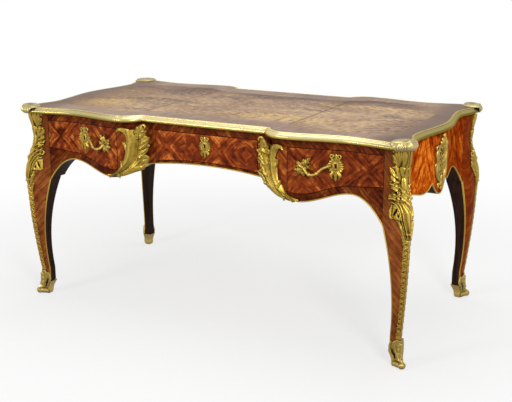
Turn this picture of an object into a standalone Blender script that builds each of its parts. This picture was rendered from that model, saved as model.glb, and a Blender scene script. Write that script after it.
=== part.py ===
"""Bureau plat: a serpentine writing desk with three drawers, cabriole legs and bronze mounts.

Metres, +Z up. The origin is on the floor under the middle of the desk, and the front faces -Y.
"""
from math import cos, pi, radians, sin

import bmesh
import bpy
from mathutils import Matrix, Vector

# Overall sizes
HEIGHT = 0.775              # floor to writing surface
CARCASS_LENGTH = 1.530      # between the corner lines of the legs
CARCASS_DEPTH = 0.746
STILE_WIDTH = 0.075         # leg stile along the front, from its corner line
STILE_DEPTH = 0.055         # and along the end

# Front and back of the frieze in plan
CENTRE_SETBACK = 0.026      # centre section behind the corner line
STEP_RADIUS = 0.070         # rounded step from the centre section to each side swell
STEP_SWEEP = radians(74)
CREST_X = 0.339             # crest of each side swell
HOLLOW_WIDTH = 0.128        # from the hollow between swell and leg to the leg
HOLLOW_DEPTH = 0.030
FRONT_FLARE = 0.015         # hollow out to the corner line

# Ends of the frieze in plan
END_CROWN_SETBACK = 0.002   # crown of the end behind the corner line
END_HOLLOW_Y = 0.250
END_HOLLOW_DEPTH = 0.030
END_FLARE = 0.030

# Front and back of the frieze in elevation, measured down from the top of the carcass
TOP_RAIL_HEIGHT = 0.027
CENTRE_DROP = 0.143         # middle of the kneehole arch
CENTRE_EDGE_X = 0.245       # ends of the kneehole arch
CENTRE_EDGE_DROP = 0.161
LOBE_X = 0.392              # lowest point of each front apron
LOBE_DROP = 0.216
ARCH_WIDTH = 0.115          # from the top of the arch between apron and leg to the leg
ARCH_DROP = 0.174
KNEE_DROP = 0.262           # where the leg's inner edge leaves its stile
APRON_BAND = 0.028          # apron below a side drawer
APRON_RISE = 0.010          # extra height of that band at the leg
CENTRE_BAND = 0.012         # rail below the centre drawer

# Ends of the frieze in elevation
PENDANT_DROP = 0.234
CUSP_Y = 0.075
CUSP_DROP = 0.182
END_LOBE_Y = 0.135
END_LOBE_DROP = 0.208
END_ARCH_Y = 0.240
END_ARCH_DROP = 0.190

# Legs: offsets of the arris out from the corner line, and heights
ANKLE_HEIGHT = 0.110
ANKLE_OFFSET = 0.000
KNEE_OFFSET = 0.024
NECK_DROP = 0.091
NECK_OFFSET = -0.002
HEAD_OFFSET = 0.004
ANKLE_WIDTH = 0.037
ANKLE_DEPTH = 0.030
LEG_SPREAD = 1.9            # how late the face widens towards the knee
FRONT_CANT = 0.02           # fall of a front face over its width at the ankle
END_CANT = 0.30             # fall of an end face there
FACE_MIDDLE = 0.68          # where the two flats of a face meet, from the arris
MIDDLE_FALL = 0.35          # share of the fall reached there

# Top
TOP_THICKNESS = 0.024
OVERHANG = 0.028            # moulding beyond the frieze
TOP_FLARE = 0.028           # the top follows the frieze, but flares more towards its corners
TOP_CORNER_X = 0.003        # corner of the top beyond the corner line, before the overhang
TOP_CORNER_Y = 0.030
MOULDING_WIDTH = 0.020
CORNER_ROUND = 0.034
LEATHER_LENGTH = 1.370
LEATHER_CENTRE = 0.524      # depth of the leather between the steps
LEATHER_SWELL = 0.060       # more on each edge where the sides swell
LEATHER_SWELL_X = 0.390
LEATHER_STEP_X = 0.240
LEATHER_CORNER = 0.035      # less again at the corners
LEATHER_CROWN = 0.012       # bow of the leather's ends
LEATHER_THICKNESS = 0.0015
CLASP_RADIUS = 0.060
CLASP_RISE = 0.010          # bronze clasp above the writing surface
CLASP_DOME = 0.020
CLASP_PROUD = 0.008         # and outside the moulding

# Carcass boards
RAIL_INSET = 0.078          # inner plane of rails and posts behind the corner line
SIDE_FRONT_INSET = 0.038    # inner plane of the side drawer fronts behind it
CENTRE_FRONT_INSET = 0.051
BACK_INSET = 0.048          # inner plane of the back panel in front of the back corner line
PARTITION_X = 0.270
PARTITION_THICKNESS = 0.020
LEDGE_THICKNESS = 0.020
SIDE_RUNNER_DROP = 0.134    # top of the side drawers' runners below the top of the carcass
CENTRE_RUNNER_DROP = 0.119
RUNNER_WIDTH = 0.045
LEDGE_REACH = 0.090

# Drawers
CENTRE_DRAWER_WIDTH = 0.426
SIDE_DRAWER_START = 0.350   # inner edge of a side drawer, from the middle
DRAWER_BACK_GAP = 0.140     # behind a closed drawer
DRAWER_WALL = 0.010
DRAWER_BOTTOM = 0.006
GROOVE_DEPTH = 0.004
GROOVE_RISE = 0.008         # drawer bottom above the lower edge of its sides
SIDE_TOP_GAP = 0.023        # drawer sides below the top rail
BOX_INSET = 0.009           # drawer box inside the edges of its front

# Locks
KEYHOLE_SHIFT = -0.002      # keyhole of a side drawer from the middle of its front
KEYHOLE_DROP = 0.082
CENTRE_KEYHOLE_DROP = 0.070
KEYHOLE_WIDTH = 0.006
KEYHOLE_HEIGHT = 0.014
LOCK_WIDTH = 0.066
LOCK_HEIGHT = 0.070
LOCK_THICKNESS = 0.014
BOLT_WIDTH = 0.026
BOLT_THICKNESS = 0.006
BOLT_LENGTH = 0.040
BOLT_THROW = 0.008
MORTISE_DEPTH = 0.011

# Bronze mounts
PLATE_THICKNESS = 0.005
LEAF_THICKNESS = 0.011
CHUTE_THICKNESS = 0.007
CHUTE_REACH = 0.058         # corner mount along each face from the arris, at its widest
SABOT_HEIGHT = 0.104
SABOT_FLOOR = 0.056         # solid casting below the end of the leg
SABOT_WALL = 0.004
TOE_LENGTH = 0.020
HANDLE_BAR_RADIUS = 0.0045
HANDLE_STAND_OFF = 0.022    # axis of the bar from the drawer, half way along
HANDLE_ROOT = 0.006         # and at its ends
HANDLE_FULLNESS = 0.6       # the lower, the sooner the bar reaches its stand-off
HANDLE_LEAD = 0.014         # bar of a handle starts this far from the keyhole
HANDLE_LENGTH = 0.076
HANDLE_DROP = 0.111

# Clearances
SEAT = 0.0003               # between pieces that touch
MOUNT_SEAT = 0.0006         # behind a bronze mount
SLIDE = 0.001               # around a drawer front
BOLT_FIT = 0.0005           # around a lock bolt

# Facets along the curves
STEP_FACETS = 5
SWELL_FACETS = 6
FLARE_FACETS = 3
END_FACETS = 6
ARCH_FACETS = 6
LOBE_FACETS = 5
LEG_FACETS = 13
STILE_FACETS = 7
CORNER_FACETS = 4
CLASP_FACETS = 10

SHARP_ANGLE = radians(30)   # edges sharper than this are shown as edges

# Finishes: colour, roughness, metallic
VENEER = ((0.27, 0.055, 0.018), 0.28, 0.0)
BRONZE = ((0.55, 0.37, 0.09), 0.34, 1.0)
LEATHER = ((0.25, 0.12, 0.05), 0.55, 0.0)
OAK = ((0.36, 0.21, 0.10), 0.60, 0.0)
STEEL = ((0.30, 0.29, 0.27), 0.40, 1.0)

# Places that follow from the sizes above
carcass_top = HEIGHT - TOP_THICKNESS
corner_x = CARCASS_LENGTH / 2
corner_y = CARCASS_DEPTH / 2
stile_x = corner_x - STILE_WIDTH
stile_y = corner_y - STILE_DEPTH
end_inner = stile_x
hollow_x = stile_x - HOLLOW_WIDTH
arch_x = stile_x - ARCH_WIDTH
rail_back = corner_y - RAIL_INSET
side_back = corner_y - SIDE_FRONT_INSET
centre_back = corner_y - CENTRE_FRONT_INSET
back_inner = corner_y - BACK_INSET
key_x = (SIDE_DRAWER_START + stile_x) / 2 + KEYHOLE_SHIFT
handle_start = key_x - HANDLE_LEAD
handle_end = handle_start - HANDLE_LENGTH
centre_depth = corner_y - CENTRE_SETBACK
crest_depth = centre_depth + STEP_RADIUS * (1.0 - cos(STEP_SWEEP))
knee_z = carcass_top - KNEE_DROP
rail_bottom = carcass_top - TOP_RAIL_HEIGHT
knee_width = STILE_WIDTH + KNEE_OFFSET
knee_depth = STILE_DEPTH + KNEE_OFFSET
centre_half = CENTRE_DRAWER_WIDTH / 2
side_runner_top = carcass_top - SIDE_RUNNER_DROP
centre_runner_top = carcass_top - CENTRE_RUNNER_DROP


def clear_scene():
    """Remove whatever the scene holds and make the two collections."""
    for obj in list(bpy.data.objects):
        bpy.data.objects.remove(obj, do_unlink=True)
    made = []
    for name in ("Bureau plat", "Cutters"):
        collection = bpy.data.collections.new(name)
        bpy.context.scene.collection.children.link(collection)
        made.append(collection)
    return made


PARTS, CUTTERS = clear_scene()


def smooth(t):
    """Ease from 0 to 1 with level ends."""
    t = min(max(t, 0.0), 1.0)
    return t * t * (3.0 - 2.0 * t)


def mix(low, high, t):
    return low + (high - low) * t


def steps(start, end, count):
    """Evenly spaced values from start to end, both included."""
    return [mix(start, end, k / count) for k in range(count + 1)]


def on_path(path, x):
    """Second coordinate of a path of straight runs at the first coordinate x."""
    for (x0, d0), (x1, d1) in zip(path, path[1:]):
        if x <= x1:
            return mix(d0, d1, (x - x0) / (x1 - x0))
    return path[-1][1]


def clip(path, low, high):
    """The stretch of a path between two values of its first coordinate."""
    inside = [point for point in path if low < point[0] < high]
    return [(low, on_path(path, low))] + inside + [(high, on_path(path, high))]


def both_halves(half):
    """A path over its whole width from the half that starts at the middle."""
    return [(-x, d) for x, d in reversed(half[1:])] + half


def front_half(flare):
    """Right half of the front face in plan, from the middle to the leg."""
    path = [(0.0, centre_depth)]
    for angle in steps(STEP_SWEEP, 0.0, STEP_FACETS):
        path.append((CREST_X - STEP_RADIUS * sin(angle), crest_depth - STEP_RADIUS * (1.0 - cos(angle))))
    for t in steps(0.0, 1.0, SWELL_FACETS)[1:]:
        path.append((mix(CREST_X, hollow_x, t), crest_depth - HOLLOW_DEPTH * smooth(t)))
    for x in steps(hollow_x, stile_x, FLARE_FACETS)[1:]:
        out = flare * smooth((x - hollow_x) / (corner_x - hollow_x))
        path.append((x, crest_depth - HOLLOW_DEPTH + out))
    return path


def end_half():
    """Half of an end face in plan, from the middle to the leg."""
    crown = corner_x - END_CROWN_SETBACK
    path = []
    for t in steps(0.0, 1.0, END_FACETS):
        path.append((END_HOLLOW_Y * t, crown - END_HOLLOW_DEPTH * smooth(t)))
    flare = END_FLARE * smooth((stile_y - END_HOLLOW_Y) / (corner_y - END_HOLLOW_Y))
    path.append((stile_y, crown - END_HOLLOW_DEPTH + flare))
    return path


FRONT = both_halves(front_half(FRONT_FLARE))
TOP_FRONT = both_halves(front_half(TOP_FLARE))
END = both_halves(end_half())


def front_edge(x):
    """Height of the lower edge of the front and back at x."""
    x = abs(x)
    edge = carcass_top - CENTRE_EDGE_DROP
    if x <= CENTRE_EDGE_X:
        return mix(carcass_top - CENTRE_DROP, edge, (x / CENTRE_EDGE_X) ** 2)
    lobe = carcass_top - LOBE_DROP
    if x <= LOBE_X:
        return mix(edge, lobe, sin(pi / 2 * (x - CENTRE_EDGE_X) / (LOBE_X - CENTRE_EDGE_X)))
    arch = carcass_top - ARCH_DROP
    if x <= arch_x:
        return mix(lobe, arch, smooth((x - LOBE_X) / (arch_x - LOBE_X)))
    return mix(arch, knee_z, ((x - arch_x) / (stile_x - arch_x)) ** 2)


def drawer_edge(x):
    """Height of the joint between a side drawer and the apron below it."""
    x = abs(x)
    rise = APRON_RISE * smooth((x - arch_x) / (stile_x - arch_x))
    return front_edge(min(x, arch_x)) + APRON_BAND + rise


def end_edge(y):
    """Height of the lower edge of the ends at y."""
    y = abs(y)
    cusp = carcass_top - CUSP_DROP
    if y <= CUSP_Y:
        return mix(carcass_top - PENDANT_DROP, cusp, (y / CUSP_Y) ** 2)
    lobe = carcass_top - END_LOBE_DROP
    if y <= END_LOBE_Y:
        return mix(lobe, cusp, (1.0 - (y - CUSP_Y) / (END_LOBE_Y - CUSP_Y)) ** 2)
    arch = carcass_top - END_ARCH_DROP
    if y <= END_ARCH_Y:
        return mix(lobe, arch, smooth((y - END_LOBE_Y) / (END_ARCH_Y - END_LOBE_Y)))
    return mix(arch, knee_z, ((y - END_ARCH_Y) / (stile_y - END_ARCH_Y)) ** 2)


def stations(low, high, breaks, count):
    """Values from low to high that stop at each break between them, with facets in every stretch."""
    marks = [low] + [b for b in breaks if low < b < high] + [high]
    values = [low]
    for start, end in zip(marks, marks[1:]):
        values += steps(start, end, count)[1:]
    return values


FRONT_BREAKS = (-arch_x, -LOBE_X, -CENTRE_EDGE_X, 0.0, CENTRE_EDGE_X, LOBE_X, arch_x)
END_BREAKS = (-END_ARCH_Y, -END_LOBE_Y, -CUSP_Y, 0.0, CUSP_Y, END_LOBE_Y, END_ARCH_Y)


def shifted(points, distance, closed=True):
    """A path moved sideways to the right of its direction, with mitred corners."""
    points = [Vector(point) for point in points]
    count = len(points)
    moved = []
    for k in range(count):
        before = points[k] - points[k - 1]
        after = points[(k + 1) % count] - points[k]
        if not closed and k == 0:
            before = after
        if not closed and k == count - 1:
            after = before
        first = Vector((before.y, -before.x)).normalized()
        second = Vector((after.y, -after.x)).normalized()
        moved.append(points[k] + (first + second) * distance / (1.0 + first.dot(second)))
    return [tuple(point) for point in moved]


def finish(obj, look, parent=None):
    """Put a piece in the desk's collection with its own material."""
    colour, roughness, metallic = look
    material = bpy.data.materials.new(obj.name + "_finish")
    material.use_nodes = True
    shader = material.node_tree.nodes["Principled BSDF"]
    shader.inputs["Base Color"].default_value = (*colour, 1.0)
    shader.inputs["Roughness"].default_value = roughness
    shader.inputs["Metallic"].default_value = metallic
    obj.data.materials.clear()
    obj.data.materials.append(material)
    obj.data.shade_smooth()
    obj.data.set_sharp_from_angle(angle=SHARP_ANGLE)
    PARTS.objects.link(obj)
    if parent is not None:
        obj.parent = parent
        obj.matrix_parent_inverse = parent.matrix_world.inverted()
    return obj


def as_cutter(obj):
    """Put a shape with the cutters, out of sight."""
    CUTTERS.objects.link(obj)
    obj.hide_render = True
    obj.display_type = 'WIRE'
    return obj


def combine(obj, other, operation):
    """Cut, join or intersect a piece with another shape."""
    modifier = obj.modifiers.new(operation.title(), 'BOOLEAN')
    modifier.operation = operation
    modifier.solver = 'EXACT'
    modifier.object = other
    return obj


def mesh_object(name, curve_object):
    """A welded mesh object in place of a curve object."""
    PARTS.objects.link(curve_object)
    depsgraph = bpy.context.evaluated_depsgraph_get()
    mesh = bpy.data.meshes.new_from_object(curve_object.evaluated_get(depsgraph))
    welded = bmesh.new()
    welded.from_mesh(mesh)
    bmesh.ops.remove_doubles(welded, verts=welded.verts, dist=1e-6)
    bmesh.ops.recalc_face_normals(welded, faces=welded.faces)
    welded.to_mesh(mesh)
    welded.free()
    matrix = curve_object.matrix_world.copy()
    bpy.data.objects.remove(curve_object, do_unlink=True)
    obj = bpy.data.objects.new(name, mesh)
    obj.matrix_world = matrix
    return obj


# Directions of an outline's own axes and of its extrusion
UPRIGHT = {
    'Z': Matrix.Identity(3),
    'Y': Matrix(((1, 0, 0), (0, 0, -1), (0, 1, 0))),
    'X': Matrix(((0, 0, 1), (1, 0, 0), (0, 1, 0))),
}


def prism(name, loops, low, high, axis='Z'):
    """Closed outlines extruded along an axis; a second loop inside the first is a hole."""
    curve = bpy.data.curves.new(name, 'CURVE')
    curve.dimensions = '2D'
    curve.fill_mode = 'BOTH'
    curve.extrude = (high - low) / 2
    for loop in loops:
        spline = curve.splines.new('POLY')
        spline.points.add(len(loop) - 1)
        for point, place in zip(spline.points, loop):
            point.co = (place[0], place[1], 0.0, 1.0)
        spline.use_cyclic_u = True
    obj = bpy.data.objects.new(name, curve)
    matrix = UPRIGHT[axis].to_4x4()
    matrix.translation['ZYX'.index(axis) * -1 + 2] = (low + high) / 2
    obj.matrix_world = matrix
    return mesh_object(name, obj)


def box(name, low, high):
    """A cuboid between two corners, with its origin at its middle."""
    low = Vector(low)
    high = Vector(high)
    shape = bmesh.new()
    bmesh.ops.create_cube(shape, size=1.0)
    bmesh.ops.scale(shape, vec=high - low, verts=shape.verts)
    mesh = bpy.data.meshes.new(name)
    shape.to_mesh(mesh)
    shape.free()
    obj = bpy.data.objects.new(name, mesh)
    obj.location = (low + high) / 2
    return obj


def loft(name, rings):
    """A closed solid through rings of points that match one to one."""
    shape = bmesh.new()
    rows = [[shape.verts.new(point) for point in ring] for ring in rings]
    count = len(rows[0])
    for lower, upper in zip(rows, rows[1:]):
        for k in range(count):
            after = (k + 1) % count
            shape.faces.new((lower[k], lower[after], upper[after], upper[k]))
    shape.faces.new(rows[0])
    shape.faces.new(rows[-1])
    bmesh.ops.recalc_face_normals(shape, faces=shape.faces)
    mesh = bpy.data.meshes.new(name)
    shape.to_mesh(mesh)
    shape.free()
    return bpy.data.objects.new(name, mesh)


def mirror_x(points, side):
    return [(x * side, other) for x, other in points]


def face_strip(path, low, high, back, facing):
    """Plan of a board from a shaped face to a straight inner plane, the face towards facing * Y."""
    face = [(x, facing * d) for x, d in clip(path, low, high)]
    return face + [(high, facing * back), (low, facing * back)]


def shaped_board(name, plan, elevation, axis, look, parent=None):
    """A board that follows one outline in plan and another in elevation."""
    board = prism(name, [plan], 0.0, HEIGHT)
    reach = CARCASS_LENGTH if axis == 'X' else CARCASS_DEPTH
    cutter = as_cutter(prism(name + "_outline", [elevation], -reach, reach, axis))
    combine(board, cutter, 'INTERSECT')
    return finish(board, look, parent)


# Carcass

def arris_offset(z):
    """How far a leg's arris stands out from its corner line at a height."""
    neck_z = carcass_top - NECK_DROP
    if z <= knee_z:
        t = max((z - ANKLE_HEIGHT) / (knee_z - ANKLE_HEIGHT), 0.0)
        return mix(ANKLE_OFFSET, KNEE_OFFSET, sin(pi / 2 * t))
    if z <= neck_z:
        return mix(KNEE_OFFSET, NECK_OFFSET, smooth((z - knee_z) / (neck_z - knee_z)))
    return mix(NECK_OFFSET, HEAD_OFFSET, smooth((z - neck_z) / (carcass_top - neck_z)))


def leg_section(z):
    """Section of a leg in the +X +Y quarter: arris, front face, inner corner, end face."""
    offset = arris_offset(z)
    ax = corner_x + offset
    ay = corner_y + offset
    front = ay - FRONT[-1][1]
    end = ax - END[-1][1]
    width = STILE_WIDTH + offset
    depth = STILE_DEPTH + offset
    if z < knee_z:
        t = max((z - ANKLE_HEIGHT) / (knee_z - ANKLE_HEIGHT), 0.0)
        width = mix(ANKLE_WIDTH, knee_width, t ** LEG_SPREAD)
        depth = mix(ANKLE_DEPTH, knee_depth, t ** LEG_SPREAD)
        knee_front = (corner_y + KNEE_OFFSET - FRONT[-1][1]) / knee_width
        knee_end = (corner_x + KNEE_OFFSET - END[-1][1]) / knee_depth
        front = width * mix(FRONT_CANT, knee_front, smooth(t))
        end = depth * mix(END_CANT, knee_end, smooth(t))
    return [
        (ax, ay),
        (ax - width * FACE_MIDDLE, ay - front * MIDDLE_FALL),
        (ax - width, ay - front),
        (ax - width, ay - depth),
        (ax - end, ay - depth),
        (ax - end * MIDDLE_FALL, ay - depth * FACE_MIDDLE),
    ]


foot_z = SABOT_FLOOR + SEAT
LEG_LEVELS = [foot_z] + steps(ANKLE_HEIGHT, knee_z, LEG_FACETS)
LEG_LEVELS += steps(knee_z, carcass_top, STILE_FACETS)[1:]


def section_on_leg(z):
    """Section of the faceted leg at any height between two of its levels."""
    for low, high in zip(LEG_LEVELS, LEG_LEVELS[1:]):
        if z <= high:
            t = (z - low) / (high - low)
            pairs = zip(leg_section(low), leg_section(high))
            return [(mix(a[0], b[0], t), mix(a[1], b[1], t)) for a, b in pairs]
    return leg_section(LEG_LEVELS[-1])


CORNERS = {
    "front_left": (-1, -1),
    "front_right": (1, -1),
    "back_left": (-1, 1),
    "back_right": (1, 1),
}


def in_corner(section, z, corner):
    """Points of a +X +Y section at a height, moved to a corner of the desk."""
    side, facing = corner
    return [(x * side, y * facing, z) for x, y in section]


def make_legs():
    for name, corner in CORNERS.items():
        rings = [in_corner(leg_section(z), z, corner) for z in LEG_LEVELS]
        finish(loft("leg_" + name, rings), VENEER)


def edge_outline(low, high, edge, breaks, top):
    """Elevation of a board with a straight top and a shaped lower edge."""
    values = stations(low, high, breaks, ARCH_FACETS)
    return [(v, edge(v)) for v in values] + [(high, top), (low, top)]


def make_rails():
    """Front top rail with the lock mortises, the two aprons and the centre rail."""
    end = stile_x - SEAT
    plan = face_strip(FRONT, -end, end, rail_back, -1)
    rail = prism("front_top_rail", [plan], rail_bottom, carcass_top)
    for key, x, back in LOCK_PLACES:
        y = -back + SEAT + LOCK_THICKNESS / 2
        half = (BOLT_WIDTH / 2 + BOLT_FIT, BOLT_THICKNESS / 2 + BOLT_FIT, MORTISE_DEPTH)
        low = (x - half[0], y - half[1], rail_bottom - MORTISE_DEPTH)
        high = (x + half[0], y + half[1], rail_bottom + MORTISE_DEPTH)
        combine(rail, as_cutter(box("mortise_" + key, low, high)), 'DIFFERENCE')
    finish(rail, VENEER)

    for side, name in ((-1, "left"), (1, "right")):
        low = SIDE_DRAWER_START + SEAT
        values = stations(low, end, (LOBE_X, arch_x), LOBE_FACETS)
        lower = [(x, front_edge(x)) for x in values]
        upper = [(x, drawer_edge(x)) for x in reversed(values)]
        plan = mirror_x(face_strip(FRONT, low - SLIDE, stile_x, rail_back, -1), side)
        shaped_board("front_apron_" + name, plan, mirror_x(lower + upper, side), 'Y', VENEER)

    half = centre_half - SEAT
    values = steps(-half, half, 2 * ARCH_FACETS)
    lower = [(x, front_edge(x)) for x in values]
    upper = [(x, z + CENTRE_BAND) for x, z in reversed(lower)]
    plan = face_strip(FRONT, -half - SLIDE, half + SLIDE, rail_back, -1)
    shaped_board("front_centre_rail", plan, lower + upper, 'Y', VENEER)


def make_partitions():
    """Each kneehole post with the partition behind it and a drawer ledge on both sides."""
    inner_plane = -rail_back + SEAT
    side_ledge = side_runner_top - LEDGE_THICKNESS
    centre_ledge = centre_runner_top - LEDGE_THICKNESS
    stop = back_inner - SEAT
    for side, name in ((-1, "left"), (1, "right")):
        low = centre_half
        high = SIDE_DRAWER_START
        plan = mirror_x(face_strip(FRONT, low - SLIDE, high + SLIDE, rail_back, -1), side)
        outline = edge_outline(low, high, front_edge, (CENTRE_EDGE_X,), rail_bottom - SEAT)
        post = prism(name + "_partition", [plan], 0.0, HEIGHT)
        cutter = prism(name + "_post_outline", [mirror_x(outline, side)], -CARCASS_DEPTH, CARCASS_DEPTH, 'Y')
        combine(post, as_cutter(cutter), 'INTERSECT')
        outer = PARTITION_X + PARTITION_THICKNESS
        boards = (
            ("upright", PARTITION_X, outer, side_ledge, carcass_top, inner_plane),
            ("side_ledge", PARTITION_X, outer + LEDGE_REACH, side_ledge, side_runner_top, inner_plane),
            ("centre_ledge", PARTITION_X - LEDGE_REACH, outer, centre_ledge, centre_runner_top, inner_plane),
            ("tenon", PARTITION_X, outer, side_ledge, side_runner_top, -rail_back - PARTITION_THICKNESS),
        )
        for key, x0, x1, z0, z1, y0 in boards:
            low_x, high_x = sorted((x0 * side, x1 * side))
            board = box(name + "_" + key, (low_x, y0, z0), (high_x, stop, z1))
            combine(post, as_cutter(board), 'UNION')
        finish(post, OAK)


def make_back_and_ends():
    end = stile_x - SEAT
    plan = face_strip(FRONT, -stile_x, stile_x, back_inner, 1)
    outline = edge_outline(-end, end, front_edge, FRONT_BREAKS, carcass_top)
    shaped_board("back_panel", plan, outline, 'Y', VENEER)

    end = stile_y - SEAT
    outline = edge_outline(-end, end, end_edge, END_BREAKS, carcass_top)
    for side, name in ((-1, "left"), (1, "right")):
        face = [(side * d, y) for y, d in END]
        plan = face + [(side * end_inner, stile_y), (side * end_inner, -stile_y)]
        shaped_board(name + "_end_panel", plan, outline, 'X', VENEER)

        outer = end_inner - SEAT
        low_x, high_x = sorted((side * (outer - RUNNER_WIDTH), side * outer))
        runner = box(name + "_runner", (low_x, -rail_back + SEAT, side_runner_top - LEDGE_THICKNESS),
                     (high_x, back_inner - SEAT, side_runner_top))
        finish(runner, OAK)


# Top

def plan_loop():
    """Outline of the top before its overhang, anticlockwise from the front left."""
    head = (corner_x + TOP_CORNER_X, corner_y + TOP_CORNER_Y)
    front = [(x, -d) for x, d in TOP_FRONT]
    right = [(d, y) for y, d in END]
    half = front + rounded(front[-1], (head[0], -head[1]), right[0])
    half += right + rounded(right[-1], head, (front[-1][0], -front[-1][1]))
    return half + [(-x, -y) for x, y in half]


def rounded(before, corner, after):
    """A corner between two points as a short curve."""
    before = Vector(before)
    corner = Vector(corner)
    after = Vector(after)
    start = corner + (before - corner).normalized() * CORNER_ROUND
    end = corner + (after - corner).normalized() * CORNER_ROUND
    curve = []
    for t in steps(0.0, 1.0, CORNER_FACETS):
        curve.append(tuple(start.lerp(corner, t).lerp(corner.lerp(end, t), t)))
    return curve


def leather_depth(x):
    """Half depth of the leather at x."""
    x = abs(x)
    swell = LEATHER_SWELL * smooth((x - LEATHER_STEP_X) / (LEATHER_SWELL_X - LEATHER_STEP_X))
    fall = LEATHER_CORNER * smooth((x - LEATHER_SWELL_X) / (LEATHER_LENGTH / 2 - LEATHER_SWELL_X))
    return LEATHER_CENTRE / 2 + swell - fall


def leather_loop(grow):
    """Outline of the leather in plan, a little larger by grow."""
    half_x = LEATHER_LENGTH / 2
    edge_y = leather_depth(half_x)
    wing = stations(LEATHER_STEP_X, half_x, (LEATHER_SWELL_X,), LOBE_FACETS)
    front = [(x, -leather_depth(x)) for x in [-x for x in reversed(wing)] + wing]
    right = [(half_x + LEATHER_CROWN * (1.0 - smooth(abs(y) / edge_y)), y)
             for y in steps(-edge_y, edge_y, 2 * LOBE_FACETS)[1:-1]]
    half = front + right
    return shifted(half + [(-x, -y) for x, y in half], grow)


def make_top():
    loop = plan_loop()
    outside = shifted(loop, OVERHANG)
    inside = shifted(loop, OVERHANG - MOULDING_WIDTH)
    panel_edge = shifted(loop, OVERHANG - MOULDING_WIDTH - SEAT)
    floor = carcass_top + SEAT

    panel = prism("top_panel", [panel_edge], floor, HEIGHT)
    seat_z = HEIGHT - LEATHER_THICKNESS
    recess = prism("leather_recess", [leather_loop(SEAT)], seat_z - SEAT, HEIGHT + TOP_THICKNESS)
    combine(panel, as_cutter(recess), 'DIFFERENCE')
    finish(panel, VENEER)
    finish(prism("leather_inset", [leather_loop(0.0)], seat_z, HEIGHT), LEATHER)
    finish(prism("top_edge_moulding", [outside, inside], floor, HEIGHT), BRONZE)

    skin = as_cutter(prism("clasp_skin", [shifted(loop, OVERHANG + CLASP_PROUD)], floor, 2 * HEIGHT))
    core = as_cutter(prism("clasp_core", [shifted(loop, OVERHANG + SEAT)], 0.0, HEIGHT + SEAT))
    for name, (side, facing) in CORNERS.items():
        make_clasp("corner_clasp_" + name, side, facing, skin, core)


def make_clasp(name, side, facing, skin, core):
    """A domed bronze cap over one corner of the top and its moulding."""
    dome = bmesh.new()
    bmesh.ops.create_uvsphere(dome, u_segments=2 * CLASP_FACETS, v_segments=CLASP_FACETS, radius=1.0)
    bmesh.ops.scale(dome, vec=(CLASP_RADIUS, CLASP_RADIUS, CLASP_DOME), verts=dome.verts)
    mesh = bpy.data.meshes.new(name)
    dome.to_mesh(mesh)
    dome.free()
    clasp = bpy.data.objects.new(name, mesh)
    x = corner_x + TOP_CORNER_X
    y = corner_y + TOP_CORNER_Y
    clasp.location = (side * x, facing * y, HEIGHT + CLASP_RISE - CLASP_DOME)
    combine(clasp, skin, 'INTERSECT')
    combine(clasp, core, 'DIFFERENCE')
    finish(clasp, BRONZE)


# Drawers and locks

LOCK_PLACES = (
    ("left", -key_x, side_back),
    ("centre", 0.0, centre_back),
    ("right", key_x, side_back),
)


def front_outline(low, high, edge, breaks):
    """Elevation of a drawer front inside its opening, with the running clearance."""
    outline = edge_outline(low + SLIDE, high - SLIDE, edge, breaks, rail_bottom - SLIDE)
    count = len(outline) - 2
    return [(x, z + SLIDE) for x, z in outline[:count]] + outline[count:]


def keyhole(name, x, z):
    """Cutter for a keyhole that runs right through the front of a drawer."""
    half = (KEYHOLE_WIDTH / 2, KEYHOLE_HEIGHT / 2)
    low = (x - half[0], -CARCASS_DEPTH, z - half[1])
    high = (x + half[0], -rail_back - LOCK_THICKNESS, z + half[1])
    return as_cutter(box(name, low, high))


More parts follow.
